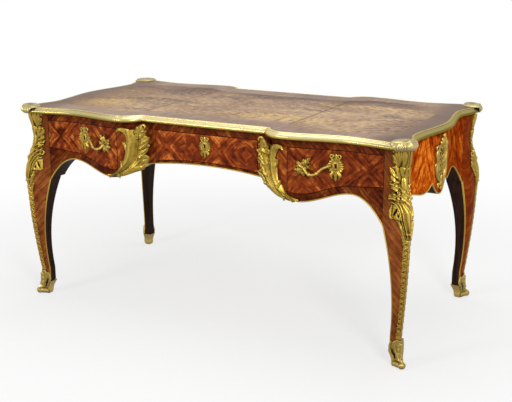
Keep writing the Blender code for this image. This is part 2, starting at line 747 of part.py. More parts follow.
def make_drawer(name, low, high, back, runner_top, outline, lock_x, key_z):
    """One drawer: shaped front, two sides, back, bottom, lock case and lock bolt."""
    slide = bpy.data.objects.new("drawer_slide_" + name, None)
    slide.location = ((low + high) / 2, -back, runner_top)
    PARTS.objects.link(slide)
    bpy.context.view_layer.update()

    plan = face_strip(FRONT, low, high, back, -1)
    front = shaped_board(name + "_drawer_front", plan, outline, 'Y', VENEER, slide)
    combine(front, keyhole(name + "_keyhole", lock_x, key_z), 'DIFFERENCE')

    left = low + SLIDE + BOX_INSET
    right = high - SLIDE - BOX_INSET
    base = runner_top + SEAT
    top = rail_bottom - SIDE_TOP_GAP
    start = -back + SEAT
    stop = back_inner - DRAWER_BACK_GAP
    panel_z = base + GROOVE_RISE
    reach = DRAWER_WALL - GROOVE_DEPTH
    groove = as_cutter(box(name + "_groove", (left + reach - SEAT, start - SLIDE, panel_z - SEAT),
                           (right - reach + SEAT, stop + SLIDE, panel_z + DRAWER_BOTTOM + SEAT)))
    for side, x in (("left", left), ("right", right - DRAWER_WALL)):
        wall = box(name + "_drawer_" + side + "_side", (x, start, base), (x + DRAWER_WALL, stop, top))
        combine(wall, groove, 'DIFFERENCE')
        finish(wall, OAK, slide)
    finish(box(name + "_drawer_bottom", (left + reach, start, panel_z),
               (right - reach, stop, panel_z + DRAWER_BOTTOM)), OAK, slide)
    finish(box(name + "_drawer_back",
               (left + DRAWER_WALL + SEAT, stop - DRAWER_WALL, panel_z + DRAWER_BOTTOM + SEAT),
               (right - DRAWER_WALL - SEAT, stop, top)), OAK, slide)

    lock_y = start + LOCK_THICKNESS / 2
    lock_top = rail_bottom - SLIDE - SEAT
    case = box(name + "_lock_case", (lock_x - LOCK_WIDTH / 2, start, lock_top - LOCK_HEIGHT),
               (lock_x + LOCK_WIDTH / 2, start + LOCK_THICKNESS, lock_top))
    half_x = BOLT_WIDTH / 2
    half_y = BOLT_THICKNESS / 2
    channel = box(name + "_bolt_channel",
                  (lock_x - half_x - BOLT_FIT, lock_y - half_y - BOLT_FIT, lock_top - BOLT_LENGTH - SEAT),
                  (lock_x + half_x + BOLT_FIT, lock_y + half_y + BOLT_FIT, lock_top + BOLT_THROW))
    combine(case, as_cutter(channel), 'DIFFERENCE')
    finish(case, STEEL, slide)
    bolt = box(name + "_lock_bolt", (lock_x - half_x, lock_y - half_y, lock_top - BOLT_LENGTH),
               (lock_x + half_x, lock_y + half_y, lock_top))
    finish(bolt, STEEL, slide)
    return slide


def make_drawers():
    key_z = carcass_top - KEYHOLE_DROP
    slides = {}
    for (name, lock_x, back), side in zip(LOCK_PLACES, (-1, 0, 1)):
        if side == 0:
            low, high = -centre_half, centre_half
            outline = front_outline(low, high, lambda x: front_edge(x) + CENTRE_BAND, (0.0,))
            slides[name] = make_drawer(name, low, high, back, centre_runner_top, outline, lock_x,
                                       carcass_top - CENTRE_KEYHOLE_DROP)
        else:
            outline = front_outline(SIDE_DRAWER_START, stile_x, drawer_edge, (LOBE_X, arch_x))
            low, high = sorted((side * SIDE_DRAWER_START, side * stile_x))
            slides[name] = make_drawer(name, low, high, back, side_runner_top,
                                       mirror_x(outline, side), lock_x, key_z)
    return slides


# Bronze mounts

def mount_shell(path, low, high, thickness, facing):
    """Plan of a plate of even thickness laid on a shaped face, the face towards facing * Y."""
    face = [(x, -d) for x, d in clip(path, low, high)]
    inner = shifted(face, MOUNT_SEAT, closed=False)
    outer = shifted(face, MOUNT_SEAT + thickness, closed=False)
    return [(x, -facing * y) for x, y in inner + outer[::-1]]


def plate(name, outline, thickness, facing):
    """A plate with a shaped edge, bent to the front or back of the frieze."""
    low = min(x for x, z in outline) - thickness
    high = max(x for x, z in outline) + thickness
    piece = prism(name, [mount_shell(FRONT, low, high, thickness, facing)], 0.0, HEIGHT)
    cutter = as_cutter(prism(name + "_outline", [outline], -CARCASS_DEPTH, CARCASS_DEPTH, 'Y'))
    return combine(piece, cutter, 'INTERSECT')


def two_sided(half):
    """A symmetrical outline from its right half, given from the top down."""
    return half + [(-x, z) for x, z in reversed(half) if x > 0.0]


def placed(outline, x, z):
    return [(u + x, v + z) for u, v in outline]


# Outlines of the mounts, each about its own reference point
ESCUTCHEON = two_sided([(0.0, 0.043), (0.011, 0.034), (0.027, 0.022), (0.029, -0.002),
                        (0.020, -0.026), (0.007, -0.040), (0.0, -0.049)])
SMALL_ESCUTCHEON = two_sided([(0.0, 0.034), (0.012, 0.026), (0.026, 0.012), (0.024, -0.010),
                              (0.012, -0.026), (0.0, -0.041)])
LEAF_SPRAY = [(0.010, -0.006), (0.008, 0.022), (0.008, 0.054), (-0.006, 0.030), (-0.024, 0.034),
              (-0.022, 0.014), (-0.043, 0.000), (-0.026, -0.008), (-0.016, -0.019), (-0.004, -0.010)]
END_CARTOUCHE = two_sided([(0.0, 0.100), (0.014, 0.072), (0.040, 0.068), (0.062, 0.046), (0.052, 0.012),
                           (0.058, -0.030), (0.036, -0.064), (0.016, -0.084), (0.0, -0.098)])

# Acanthus beside the kneehole: x from the middle, then drop below the top of the carcass
ACANTHUS = [(0.345, 0.040), (0.331, 0.030), (0.302, 0.044), (0.284, 0.032), (0.262, 0.016), (0.238, 0.016),
            (0.224, 0.060), (0.228, 0.092), (0.222, 0.122), (0.236, 0.150), (0.262, 0.167), (0.300, 0.190),
            (0.345, 0.207), (0.394, 0.214), (0.362, 0.196), (0.332, 0.166), (0.317, 0.140),
            (0.309, 0.110), (0.307, 0.088), (0.313, 0.066), (0.330, 0.052)]
CARTOUCHE_DROP = 0.117      # middle of the end cartouches below the top of the carcass

# Corner mounts: share of the carcass height from its top down, then share of their greatest reach
CHUTE_SHAPE = [(0.0, 0.71), (0.11, 0.66), (0.22, 0.86), (0.30, 1.0), (0.33, 0.66),
               (0.38, 0.45), (0.45, 0.31), (0.60, 0.21), (0.93, 0.16)]
CHUTE_TOP_GAP = 0.004
CHUTE_LIMIT = 0.97          # share of the outer flat of a face that a corner mount may cover

# Shoes: share of the height, share of the toe, share of the ankle's section that is left
SABOT_LEVELS = [(0.0, 0.25, 0.62), (0.12, 1.0, 0.70), (0.21, 0.85, 0.72), (0.33, 0.32, 0.80),
                (0.52, 0.05, 1.0), (1.0, 0.05, 1.0)]


def make_handle(name, side, slide):
    """Fixed drawer handle: escutcheon, standing bar and leaf spray in one casting."""
    z = carcass_top - HANDLE_DROP
    key_z = carcass_top - KEYHOLE_DROP
    mirrored = mirror_x(placed(ESCUTCHEON, key_x, key_z), side)
    handle = plate(name + "_handle", mirrored, PLATE_THICKNESS, -1)
    spray = mirror_x(placed(LEAF_SPRAY, handle_end, z), side)
    combine(handle, as_cutter(plate(name + "_leaf_spray", spray, PLATE_THICKNESS, -1)), 'UNION')

    curve = bpy.data.curves.new(name + "_bar", 'CURVE')
    curve.dimensions = '3D'
    curve.bevel_depth = HANDLE_BAR_RADIUS
    curve.bevel_resolution = 1
    curve.use_fill_caps = True
    spline = curve.splines.new('POLY')
    spline.points.add(ARCH_FACETS)
    for point, t in zip(spline.points, steps(0.0, 1.0, ARCH_FACETS)):
        x = mix(handle_start, handle_end, t)
        stand = mix(HANDLE_ROOT, HANDLE_STAND_OFF, max(sin(pi * t), 0.0) ** HANDLE_FULLNESS)
        point.co = (side * x, -on_path(FRONT, x) - stand, z, 1.0)
    bar = mesh_object(name + "_bar", bpy.data.objects.new(name + "_bar", curve))
    combine(handle, as_cutter(bar), 'UNION')
    combine(handle, keyhole(name + "_handle_keyhole", side * key_x, key_z), 'DIFFERENCE')
    finish(handle, BRONZE, slide)


def make_front_mounts(slides):
    make_handle("left", -1, slides["left"])
    make_handle("right", 1, slides["right"])
    key_z = carcass_top - CENTRE_KEYHOLE_DROP
    small = plate("centre_escutcheon", placed(SMALL_ESCUTCHEON, 0.0, key_z), PLATE_THICKNESS, -1)
    combine(small, keyhole("escutcheon_keyhole", 0.0, key_z), 'DIFFERENCE')
    finish(small, BRONZE, slides["centre"])

    outline = [(x, carcass_top - drop) for x, drop in ACANTHUS]
    for facing, face in ((-1, "front"), (1, "back")):
        for side, name in ((-1, "left"), (1, "right")):
            leaf = plate("acanthus_%s_%s" % (face, name), mirror_x(outline, side), LEAF_THICKNESS, facing)
            finish(leaf, BRONZE)


def make_end_mounts():
    middle = carcass_top - CARTOUCHE_DROP
    outline = placed(END_CARTOUCHE, 0.0, middle)
    reach = max(y for y, z in END_CARTOUCHE) + LEAF_THICKNESS
    shell = mount_shell(END, -reach, reach, LEAF_THICKNESS, -1)
    for side, name in ((-1, "left"), (1, "right")):
        plan = [(side * -y, x) for x, y in shell]
        piece = prism(name + "_end_cartouche", [plan], 0.0, HEIGHT)
        cutter = prism(name + "_cartouche_outline", [outline], -CARCASS_LENGTH, CARCASS_LENGTH, 'X')
        combine(piece, as_cutter(cutter), 'INTERSECT')
        finish(piece, BRONZE)


def chute_section(z):
    """Section of a corner mount: an angle of even thickness over the arris of the leg."""
    points = [Vector(point) for point in section_on_leg(z)]
    arris, front, end = points[0], points[1], points[5]
    wanted = CHUTE_REACH * on_path(CHUTE_SHAPE, 1.0 - z / carcass_top)
    face = [arris + (end - arris).normalized() * min(wanted, (end - arris).length * CHUTE_LIMIT), arris,
            arris + (front - arris).normalized() * min(wanted, (front - arris).length * CHUTE_LIMIT)]
    inner = shifted(face, MOUNT_SEAT, closed=False)
    outer = shifted(face, MOUNT_SEAT + CHUTE_THICKNESS, closed=False)
    return inner + outer[::-1]


def make_chutes():
    low = SABOT_HEIGHT + SEAT
    high = carcass_top - CHUTE_TOP_GAP
    levels = [low] + [z for z in LEG_LEVELS if low < z < high] + [high]
    for name, corner in CORNERS.items():
        rings = [in_corner(chute_section(z), z, corner) for z in levels]
        finish(loft("corner_mount_" + name, rings), BRONZE)


def sabot_ring(toe, keep):
    """Section of a shoe: the ankle and a wall, drawn in to a share of that size, with a toe at the arris."""
    outer = shifted(leg_section(ANKLE_HEIGHT)[::-1], -SABOT_WALL)[::-1]
    ax, ay = outer[0]
    ring = [(mix(ax, x, keep), mix(ay, y, keep)) for x, y in outer]
    ring[0] = (ax + TOE_LENGTH * toe, ay + TOE_LENGTH * toe)
    return ring


def make_sabots():
    """Bronze shoes: a cup round the end of each leg, over a solid foot with a rising toe."""
    pocket = shifted(leg_section(ANKLE_HEIGHT)[::-1], -SEAT)
    for name, corner in CORNERS.items():
        side, facing = corner
        rings = []
        for share, toe, keep in SABOT_LEVELS:
            rings.append(in_corner(sabot_ring(toe, keep), share * SABOT_HEIGHT, corner))
        sabot = loft("sabot_" + name, rings)
        place = [(x * side, y * facing) for x, y in pocket]
        cutter = prism("sabot_pocket_" + name, [place], SABOT_FLOOR, 2 * SABOT_HEIGHT)
        combine(sabot, as_cutter(cutter), 'DIFFERENCE')
        finish(sabot, BRONZE)


def main():
    make_legs()
    make_rails()
    make_partitions()
    make_back_and_ends()
    make_top()
    slides = make_drawers()
    make_front_mounts(slides)
    make_end_mounts()
    make_chutes()
    make_sabots()


main()
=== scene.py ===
"""Looks of the bureau plat: veneers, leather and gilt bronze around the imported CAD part.

Metres, +Z up, in the frame of the CAD: the origin is on the floor under the middle of the desk and
the front faces -Y. Shapes are worked out in the +X +Y quarter of the desk and mirrored to the others.
"""
from math import acos, asin, cos, exp, hypot, pi, radians, sin, sqrt, tau

import bmesh
import bpy
from mathutils import Matrix, Vector


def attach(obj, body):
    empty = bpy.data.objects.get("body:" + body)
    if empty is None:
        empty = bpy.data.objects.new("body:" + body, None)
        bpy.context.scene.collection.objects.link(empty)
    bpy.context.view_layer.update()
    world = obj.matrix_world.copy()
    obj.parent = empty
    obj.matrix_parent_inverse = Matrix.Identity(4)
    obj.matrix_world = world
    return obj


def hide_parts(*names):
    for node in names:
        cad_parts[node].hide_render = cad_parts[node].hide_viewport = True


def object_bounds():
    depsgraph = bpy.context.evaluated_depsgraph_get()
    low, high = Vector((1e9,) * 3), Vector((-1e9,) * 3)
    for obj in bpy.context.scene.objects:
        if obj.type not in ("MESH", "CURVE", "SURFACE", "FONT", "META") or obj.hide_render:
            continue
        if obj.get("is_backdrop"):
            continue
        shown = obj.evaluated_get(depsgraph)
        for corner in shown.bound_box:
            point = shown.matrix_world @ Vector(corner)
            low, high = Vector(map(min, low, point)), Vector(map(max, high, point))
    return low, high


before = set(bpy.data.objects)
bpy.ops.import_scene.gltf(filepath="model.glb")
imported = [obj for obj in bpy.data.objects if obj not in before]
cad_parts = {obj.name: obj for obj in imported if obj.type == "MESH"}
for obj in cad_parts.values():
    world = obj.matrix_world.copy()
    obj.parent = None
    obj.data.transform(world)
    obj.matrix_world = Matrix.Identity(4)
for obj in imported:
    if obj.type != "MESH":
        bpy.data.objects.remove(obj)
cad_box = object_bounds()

# Overall sizes
HEIGHT = 0.775              # floor to writing surface
TOP_THICKNESS = 0.024
CARCASS_LENGTH = 1.530      # between the corner lines of the legs
CARCASS_DEPTH = 0.746
STILE_WIDTH = 0.075
STILE_DEPTH = 0.055

# Frieze in plan
CENTRE_SETBACK = 0.026
STEP_RADIUS = 0.070
STEP_SWEEP = radians(74)
CREST_X = 0.339
HOLLOW_WIDTH = 0.128
HOLLOW_DEPTH = 0.030
FRONT_FLARE = 0.015
END_CROWN_SETBACK = 0.002
END_HOLLOW_Y = 0.250
END_HOLLOW_DEPTH = 0.030
END_FLARE = 0.030

# Frieze in elevation, measured down from the top of the carcass
TOP_RAIL_HEIGHT = 0.027
CENTRE_DROP = 0.143
CENTRE_EDGE_X = 0.245
CENTRE_EDGE_DROP = 0.161
LOBE_X = 0.392
LOBE_DROP = 0.216
ARCH_WIDTH = 0.115
ARCH_DROP = 0.174
KNEE_DROP = 0.262
APRON_BAND = 0.028
APRON_RISE = 0.010
CENTRE_BAND = 0.012
PENDANT_DROP = 0.234
CUSP_Y = 0.075
CUSP_DROP = 0.182
END_LOBE_Y = 0.135
END_LOBE_DROP = 0.208
END_ARCH_Y = 0.240
END_ARCH_DROP = 0.190

# Legs
ANKLE_HEIGHT = 0.110
KNEE_OFFSET = 0.024
NECK_DROP = 0.091
NECK_OFFSET = -0.002
HEAD_OFFSET = 0.004
ANKLE_WIDTH = 0.037
ANKLE_DEPTH = 0.030
LEG_SPREAD = 1.9
FRONT_CANT = 0.02
END_CANT = 0.30
FACE_CURVE = 2.7            # how late a leg's face falls away from the arris
FACE_LIMIT = 1.3            # widths over which that fall goes on

# Top
OVERHANG = 0.028
TOP_FLARE = 0.028
TOP_CORNER_X = 0.003
TOP_CORNER_Y = 0.030
MOULDING_WIDTH = 0.020
CORNER_ROUND = 0.034
LEATHER_LENGTH = 1.370
LEATHER_CENTRE = 0.524
LEATHER_SWELL = 0.060
LEATHER_SWELL_X = 0.390
LEATHER_STEP_X = 0.240
LEATHER_CORNER = 0.035
LEATHER_CROWN = 0.012
LEATHER_THICKNESS = 0.0015
SEAM_X = 0.300              # seams between the three skins of the leather
CLASP_RADIUS = 0.051
CLASP_PROUD = 0.008

# Boards and drawers
RAIL_INSET = 0.078
SIDE_FRONT_INSET = 0.038
CENTRE_FRONT_INSET = 0.051
BACK_INSET = 0.048
CENTRE_DRAWER_WIDTH = 0.426
SIDE_DRAWER_START = 0.350
KEYHOLE_SHIFT = -0.002
KEYHOLE_DROP = 0.082
CENTRE_KEYHOLE_DROP = 0.070
SABOT_HEIGHT = 0.104
SABOT_FLOOR = 0.056
SABOT_WALL = 0.004
TOE_LENGTH = 0.020
SEAT = 0.0003
SLIDE = 0.001

# Fineness and finish of the visible pieces
PITCH = 0.006               # between two stations along a board
EASE = 0.0005               # softened edges of the boards
FACING = 0.0006             # veneer over the kneehole posts
SINK = 0.0012               # bronze let into what carries it
CAST_EDGE = 0.0014          # thickness of a casting at its edge
CAST_BODY = 0.0045          # thickness of a leaf that stands clear
NORMAL_SPAN = 0.007         # over which the direction of a face is averaged for the mounts
ARRIS_SPAN = 0.010
SHARP_ANGLE = radians(38)
SPIRAL_STEPS = 14
FILLET_WIDTH = 0.0045
FILLET_FOOT = 0.074         # where the legs' fillets go into the shoes

# Places that follow from the sizes above
carcass_top = HEIGHT - TOP_THICKNESS
corner_x = CARCASS_LENGTH / 2
corner_y = CARCASS_DEPTH / 2
stile_x = corner_x - STILE_WIDTH
stile_y = corner_y - STILE_DEPTH
hollow_x = stile_x - HOLLOW_WIDTH
arch_x = stile_x - ARCH_WIDTH
centre_depth = corner_y - CENTRE_SETBACK
crest_depth = centre_depth + STEP_RADIUS * (1.0 - cos(STEP_SWEEP))
rail_back = corner_y - RAIL_INSET
side_back = corner_y - SIDE_FRONT_INSET
centre_back = corner_y - CENTRE_FRONT_INSET
back_inner = corner_y - BACK_INSET
knee_z = carcass_top - KNEE_DROP
rail_bottom = carcass_top - TOP_RAIL_HEIGHT
centre_half = CENTRE_DRAWER_WIDTH / 2
key_x = (SIDE_DRAWER_START + stile_x) / 2 + KEYHOLE_SHIFT
key_z = carcass_top - KEYHOLE_DROP
centre_key_z = carcass_top - CENTRE_KEYHOLE_DROP
foot_z = SABOT_FLOOR + SEAT
tip_x = corner_x + TOP_CORNER_X
tip_y = corner_y + TOP_CORNER_Y

CORNERS = {
    "front_left": (-1, -1),
    "front_right": (1, -1),
    "back_left": (-1, 1),
    "back_right": (1, 1),
}
SIDES = {"left": -1, "right": 1}
FACINGS = {"front": -1, "back": 1}


# Curves

def smooth(t):
    t = min(max(t, 0.0), 1.0)
    return t * t * (3.0 - 2.0 * t)


def mix(low, high, t):
    return low + (high - low) * t


def rising(value, start, width):
    """Softly from 0 at a start to 1 a width further on."""
    return smooth((value - start) / width)


def falling(value, end, width):
    """Softly from 1, a width before an end, to 0 there."""
    return smooth((end - value) / width)


def between(value, start, end):
    """Softly from 0 at a start to 1 at an end."""
    return smooth((value - start) / (end - start))


def steps(start, end, count):
    return [mix(start, end, k / count) for k in range(count + 1)]


def spaced(start, end, pitch=PITCH):
    """Evenly spaced values from start to end, no further apart than the pitch."""
    return steps(start, end, max(int(abs(end - start) / pitch), 2))


def ramp(values, t):
    """Value at a share t of a row of evenly spaced values."""
    place = min(max(t, 0.0), 1.0) * (len(values) - 1)
    k = min(int(place), max(len(values) - 2, 0))
    return mix(values[k], values[min(k + 1, len(values) - 1)], smooth(place - k))


def table(pairs, place):
    """Value at a place between (place, value) pairs in rising order."""
    for (a, low), (b, high) in zip(pairs, pairs[1:]):
        if place <= b:
            return mix(low, high, min(max((place - a) / (b - a), 0.0), 1.0))
    return pairs[-1][1]


def bell(value, middle, width):
    return exp(-((value - middle) / width) ** 2)


def along(points, t):
    """Point at a share t of a smooth curve through points, or of a curve given as a function."""
    if callable(points):
        return Vector(points(t))
    last = len(points) - 1
    place = min(max(t, 0.0), 1.0) * last
    k = min(int(place), last - 1)
    t = place - k
    before, start, end, after = (Vector(points[min(max(k + n, 0), last)]) for n in (-1, 0, 1, 2))
    bend = (before * 2.0 - start * 5.0 + end * 4.0 - after) * t * t
    twist = (start * 3.0 - before - end * 3.0 + after) * t ** 3
    return (start * 2.0 + (end - before) * t + bend + twist) * 0.5


def spiral(centre, first, last, start, turns):
    """Points of a scroll about a centre, from one radius to another."""
    points = []
    for t in steps(0.0, 1.0, SPIRAL_STEPS):
        angle = start + tau * turns * t
        radius = mix(first, last, t)
        points.append((centre[0] + radius * cos(angle), centre[1] + radius * sin(angle)))
    return points


# Shape of the desk in plan and elevation

def front_depth(x, flare=FRONT_FLARE):
    """Front or back face of the frieze in plan at x."""
    x = abs(x)
    if x <= CREST_X - STEP_RADIUS * sin(STEP_SWEEP):
        return centre_depth
    if x <= CREST_X:
        rise = (CREST_X - x) / STEP_RADIUS
        return crest_depth - STEP_RADIUS * (1.0 - sqrt(1.0 - rise * rise))
    if x <= hollow_x:
        return crest_depth - HOLLOW_DEPTH * between(x, CREST_X, hollow_x)
    return crest_depth - HOLLOW_DEPTH + flare * between(x, hollow_x, corner_x)


def end_depth(y):
    """End face of the frieze in plan at y."""
    y = abs(y)
    crown = corner_x - END_CROWN_SETBACK
    if y <= END_HOLLOW_Y:
        return crown - END_HOLLOW_DEPTH * smooth(y / END_HOLLOW_Y)
    return crown - END_HOLLOW_DEPTH + END_FLARE * between(y, END_HOLLOW_Y, corner_y)


def front_edge(x):
    """Lower edge of the front and back at x."""
    x = abs(x)
    edge = carcass_top - CENTRE_EDGE_DROP
    if x <= CENTRE_EDGE_X:
        return mix(carcass_top - CENTRE_DROP, edge, (x / CENTRE_EDGE_X) ** 2)
    lobe = carcass_top - LOBE_DROP
    if x <= LOBE_X:
        return mix(edge, lobe, sin(pi / 2 * (x - CENTRE_EDGE_X) / (LOBE_X - CENTRE_EDGE_X)))
    arch = carcass_top - ARCH_DROP
    if x <= arch_x:
        return mix(lobe, arch, between(x, LOBE_X, arch_x))
    return mix(arch, knee_z, ((x - arch_x) / (stile_x - arch_x)) ** 2)


def drawer_edge(x):
    """Joint between a side drawer and the apron below it."""
    x = abs(x)
    rise = APRON_RISE * between(x, arch_x, stile_x)
    return front_edge(min(x, arch_x)) + APRON_BAND + rise


def centre_drawer_edge(x):
    return front_edge(x) + CENTRE_BAND


def end_edge(y):
    """Lower edge of the ends at y."""
    y = abs(y)
    cusp = carcass_top - CUSP_DROP
    if y <= CUSP_Y:
        return mix(carcass_top - PENDANT_DROP, cusp, (y / CUSP_Y) ** 2)
    lobe = carcass_top - END_LOBE_DROP
    if y <= END_LOBE_Y:
        return mix(lobe, cusp, (1.0 - (y - CUSP_Y) / (END_LOBE_Y - CUSP_Y)) ** 2)
    arch = carcass_top - END_ARCH_DROP
    if y <= END_ARCH_Y:
        return mix(lobe, arch, between(y, END_LOBE_Y, END_ARCH_Y))
    return mix(arch, knee_z, ((y - END_ARCH_Y) / (stile_y - END_ARCH_Y)) ** 2)


def arris_offset(z):
    """How far a leg's arris stands out from its corner line."""
    neck_z = carcass_top - NECK_DROP
    if z <= knee_z:
        return KNEE_OFFSET * sin(pi / 2 * max((z - ANKLE_HEIGHT) / (knee_z - ANKLE_HEIGHT), 0.0))
    if z <= neck_z:
        return mix(KNEE_OFFSET, NECK_OFFSET, between(z, knee_z, neck_z))
    return mix(NECK_OFFSET, HEAD_OFFSET, between(z, neck_z, carcass_top))


def leg_sizes(z):
    """Arris of a leg at a height, then width and fall of its front face and of its end face."""
    offset = arris_offset(z)
    ax = corner_x + offset
    ay = corner_y + offset
    front = ay - front_depth(stile_x)
    end = ax - end_depth(stile_y)
    width = STILE_WIDTH + offset
    depth = STILE_DEPTH + offset
    if z < knee_z:
        t = max((z - ANKLE_HEIGHT) / (knee_z - ANKLE_HEIGHT), 0.0)
        knee_front = (corner_y + KNEE_OFFSET - front_depth(stile_x)) / (STILE_WIDTH + KNEE_OFFSET)
        knee_end = (corner_x + KNEE_OFFSET - end_depth(stile_y)) / (STILE_DEPTH + KNEE_OFFSET)
        width = mix(ANKLE_WIDTH, STILE_WIDTH + KNEE_OFFSET, t ** LEG_SPREAD)
        depth = mix(ANKLE_DEPTH, STILE_DEPTH + KNEE_OFFSET, t ** LEG_SPREAD)
        front = width * mix(FRONT_CANT, knee_front, smooth(t))
        end = depth * mix(END_CANT, knee_end, smooth(t))
    return ax, ay, width, front, depth, end


# Faces that carry the mounts: u runs along the face, z up and off out of it

def out_of_face(depth, u, off):
    """Place along a face and across it in plan, that far out of it."""
    slope = (depth(u + NORMAL_SPAN) - depth(u - NORMAL_SPAN)) / (2 * NORMAL_SPAN)
    out = off / hypot(1.0, slope)
    return u - slope * out, depth(u) + out


def front_face(u, z, off):
    return (*out_of_face(front_depth, u, off), z)


def end_face(u, z, off):
    y, x = out_of_face(end_depth, u, off)
    return (x, y, z)


def leg_face(u, z, off):
    """Outer faces of a leg: u runs from the arris along the front face, or below zero along the end face."""
    ax, ay, width, front, depth, end = leg_sizes(z)
    if u >= 0.0:
        return (*from_arris(u, off, ax, ay, width, front), z)
    y, x = from_arris(-u, off, ay, ax, depth, end)
    return (x, y, z)


def from_arris(u, off, start, rise, width, fall):
    """Place on a leg's face in plan, along it and across it, from an arris at a start and a rise."""
    share = min(u / width, FACE_LIMIT)
    slope = FACE_CURVE * fall * share ** (FACE_CURVE - 1.0) / width
    straight = Vector((-slope, 1.0)).normalized()
    out = Vector((1.0, 0.0)).lerp(straight, 0.5 + 0.5 * smooth(u / ARRIS_SPAN)).normalized()
    return start - u + out.x * off, rise - fall * share ** FACE_CURVE + out.y * off


# Making pieces

# Finishes of a piece's faces, counted through the looks that it is made with
FACE = 0
INNER = 1                   # inner sides and edges of a board, and dark blades painted as the shadow in the openings of a mount
BAND = 2                    # bands and rims of a board, a drawer's rim being painted shadow, and the end faces of a leg


class Shape:
    """Closed shells that make up one piece, in the +X +Y quarter of the desk."""

    def __init__(self):
        self.points = []
        self.faces = []
        self.marks = []

    def face(self, corners, mark=FACE):
        self.faces.append(corners)
        self.marks.append(mark)

    def slab(self, top, low, marks=None, under=FACE):
        """A shell between two matching grids.

        marks gives the finish of each face of the top, and under that of the rest.
        """
        rows = len(top)
        columns = len(top[0])
        size = rows * columns
        start = len(self.points)
        self.points += [point for row in top for point in row]
        self.points += [point for row in low for point in row]
        for r in range(rows - 1):
            for c in range(columns - 1):
                a = start + r * columns + c
                b = a + columns
                self.face((a, a + 1, b + 1, b), marks[r][c] if marks else FACE)
                self.face((a + size, b + size, b + 1 + size, a + 1 + size), under)
        last = (rows - 1) * columns
        rim = [c for c in range(columns)] + [r * columns + columns - 1 for r in range(1, rows)]
        rim += [last + c for c in range(columns - 2, -1, -1)] + [r * columns for r in range(rows - 2, 0, -1)]
        for a, b in zip(rim, rim[1:] + rim[:1]):
            self.face((start + a, start + a + size, start + b + size, start + b), under)

    def tube(self, rings, closed=False, marks=None):
        """A shell through rings that match one to one; marks gives the finish of each run round the ring."""
        count = len(rings[0])
        start = len(self.points)
        self.points += [point for ring in rings for point in ring]
        pairs = [(k, k + 1) for k in range(len(rings) - 1)]
        if closed:
            pairs.append((len(rings) - 1, 0))
        for lower, upper in pairs:
            for k in range(count):
                after = (k + 1) % count
                corners = (lower * count + k, lower * count + after, upper * count + after, upper * count + k)
                self.face(tuple(start + c for c in corners), marks[k] if marks else FACE)
        if not closed:
            self.face(tuple(range(start, start + count)))
            self.face(tuple(range(start + (len(rings) - 1) * count, start + len(rings) * count)))

    def make(self, name, looks, slot, nodes=(), corner=(1, 1), body="carcass"):
        """The piece as an object, mirrored to a corner of the desk and riding on a CAD body.

        looks names the finishes that the marks of its faces count through.
        """
        side, facing = corner
        mesh = bpy.data.meshes.new(name)
        mesh.from_pydata([(x * side, y * facing, z) for x, y, z in self.points], [], self.faces)
        for polygon, mark in zip(mesh.polygons, self.marks):
            polygon.material_index = mark
        for look in looks.split():
            mesh.materials.append(LOOKS[look])
        shell = bmesh.new()
        shell.from_mesh(mesh)
        bmesh.ops.recalc_face_normals(shell, faces=shell.faces)
        shell.to_mesh(mesh)
        shell.free()
        mesh.shade_smooth()
        mesh.set_sharp_from_angle(angle=SHARP_ANGLE)
        piece = bpy.data.objects.new(name, mesh)
        bpy.context.scene.collection.objects.link(piece)
        if nodes:
            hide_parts(*nodes)
        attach(piece, body)
        return piece


def make_all(shape, places, name, looks, slot, node=None):
    """A piece at each of several places, named after them like the CAD nodes that it stands for."""
    for place, corner in places.items():
        shape.make(name + place, looks, slot, [node + place] if node else (), corner)


def cut(piece, boxes):
    """Cut boxes, each given by two corners, out of a piece."""
    tool = bmesh.new()
    for low, high in boxes:
        low = Vector(low)
        high = Vector(high)
        cube = bmesh.ops.create_cube(tool, size=1.0)["verts"]
        bmesh.ops.scale(tool, vec=high - low, verts=cube)
        bmesh.ops.translate(tool, vec=(low + high) / 2, verts=cube)
    mesh = bpy.data.meshes.new("cutter")
    tool.to_mesh(mesh)
    tool.free()
    cutter = bpy.data.objects.new("cutter", mesh)
    bpy.context.scene.collection.objects.link(cutter)
    modifier = piece.modifiers.new("Cut", 'BOOLEAN')
    modifier.solver = 'EXACT'
    modifier.object = cutter
    depsgraph = bpy.context.evaluated_depsgraph_get()
    result = bpy.data.meshes.new_from_object(piece.evaluated_get(depsgraph))
    piece.modifiers.clear()
    piece.data = result
    bpy.data.objects.remove(cutter, do_unlink=True)


SPINE_STEP = 0.01           # share of a curve over which its direction is taken
LOBE_ROUND = 0.6            # exponent that rounds the lobes of a leaf
TOOTH_FALL = 0.45           # how far the relief falls off between two teeth
VEIN_WIDTH = 0.2            # share of a blade's half width
FLUTE_DEPTH = 0.2           # share of a blade's relief


def heading(points, t):
    """Direction of a curve at a share t of it."""
    return (along(points, min(t + SPINE_STEP, 1.0)) - along(points, max(t - SPINE_STEP, 0.0))).normalized()


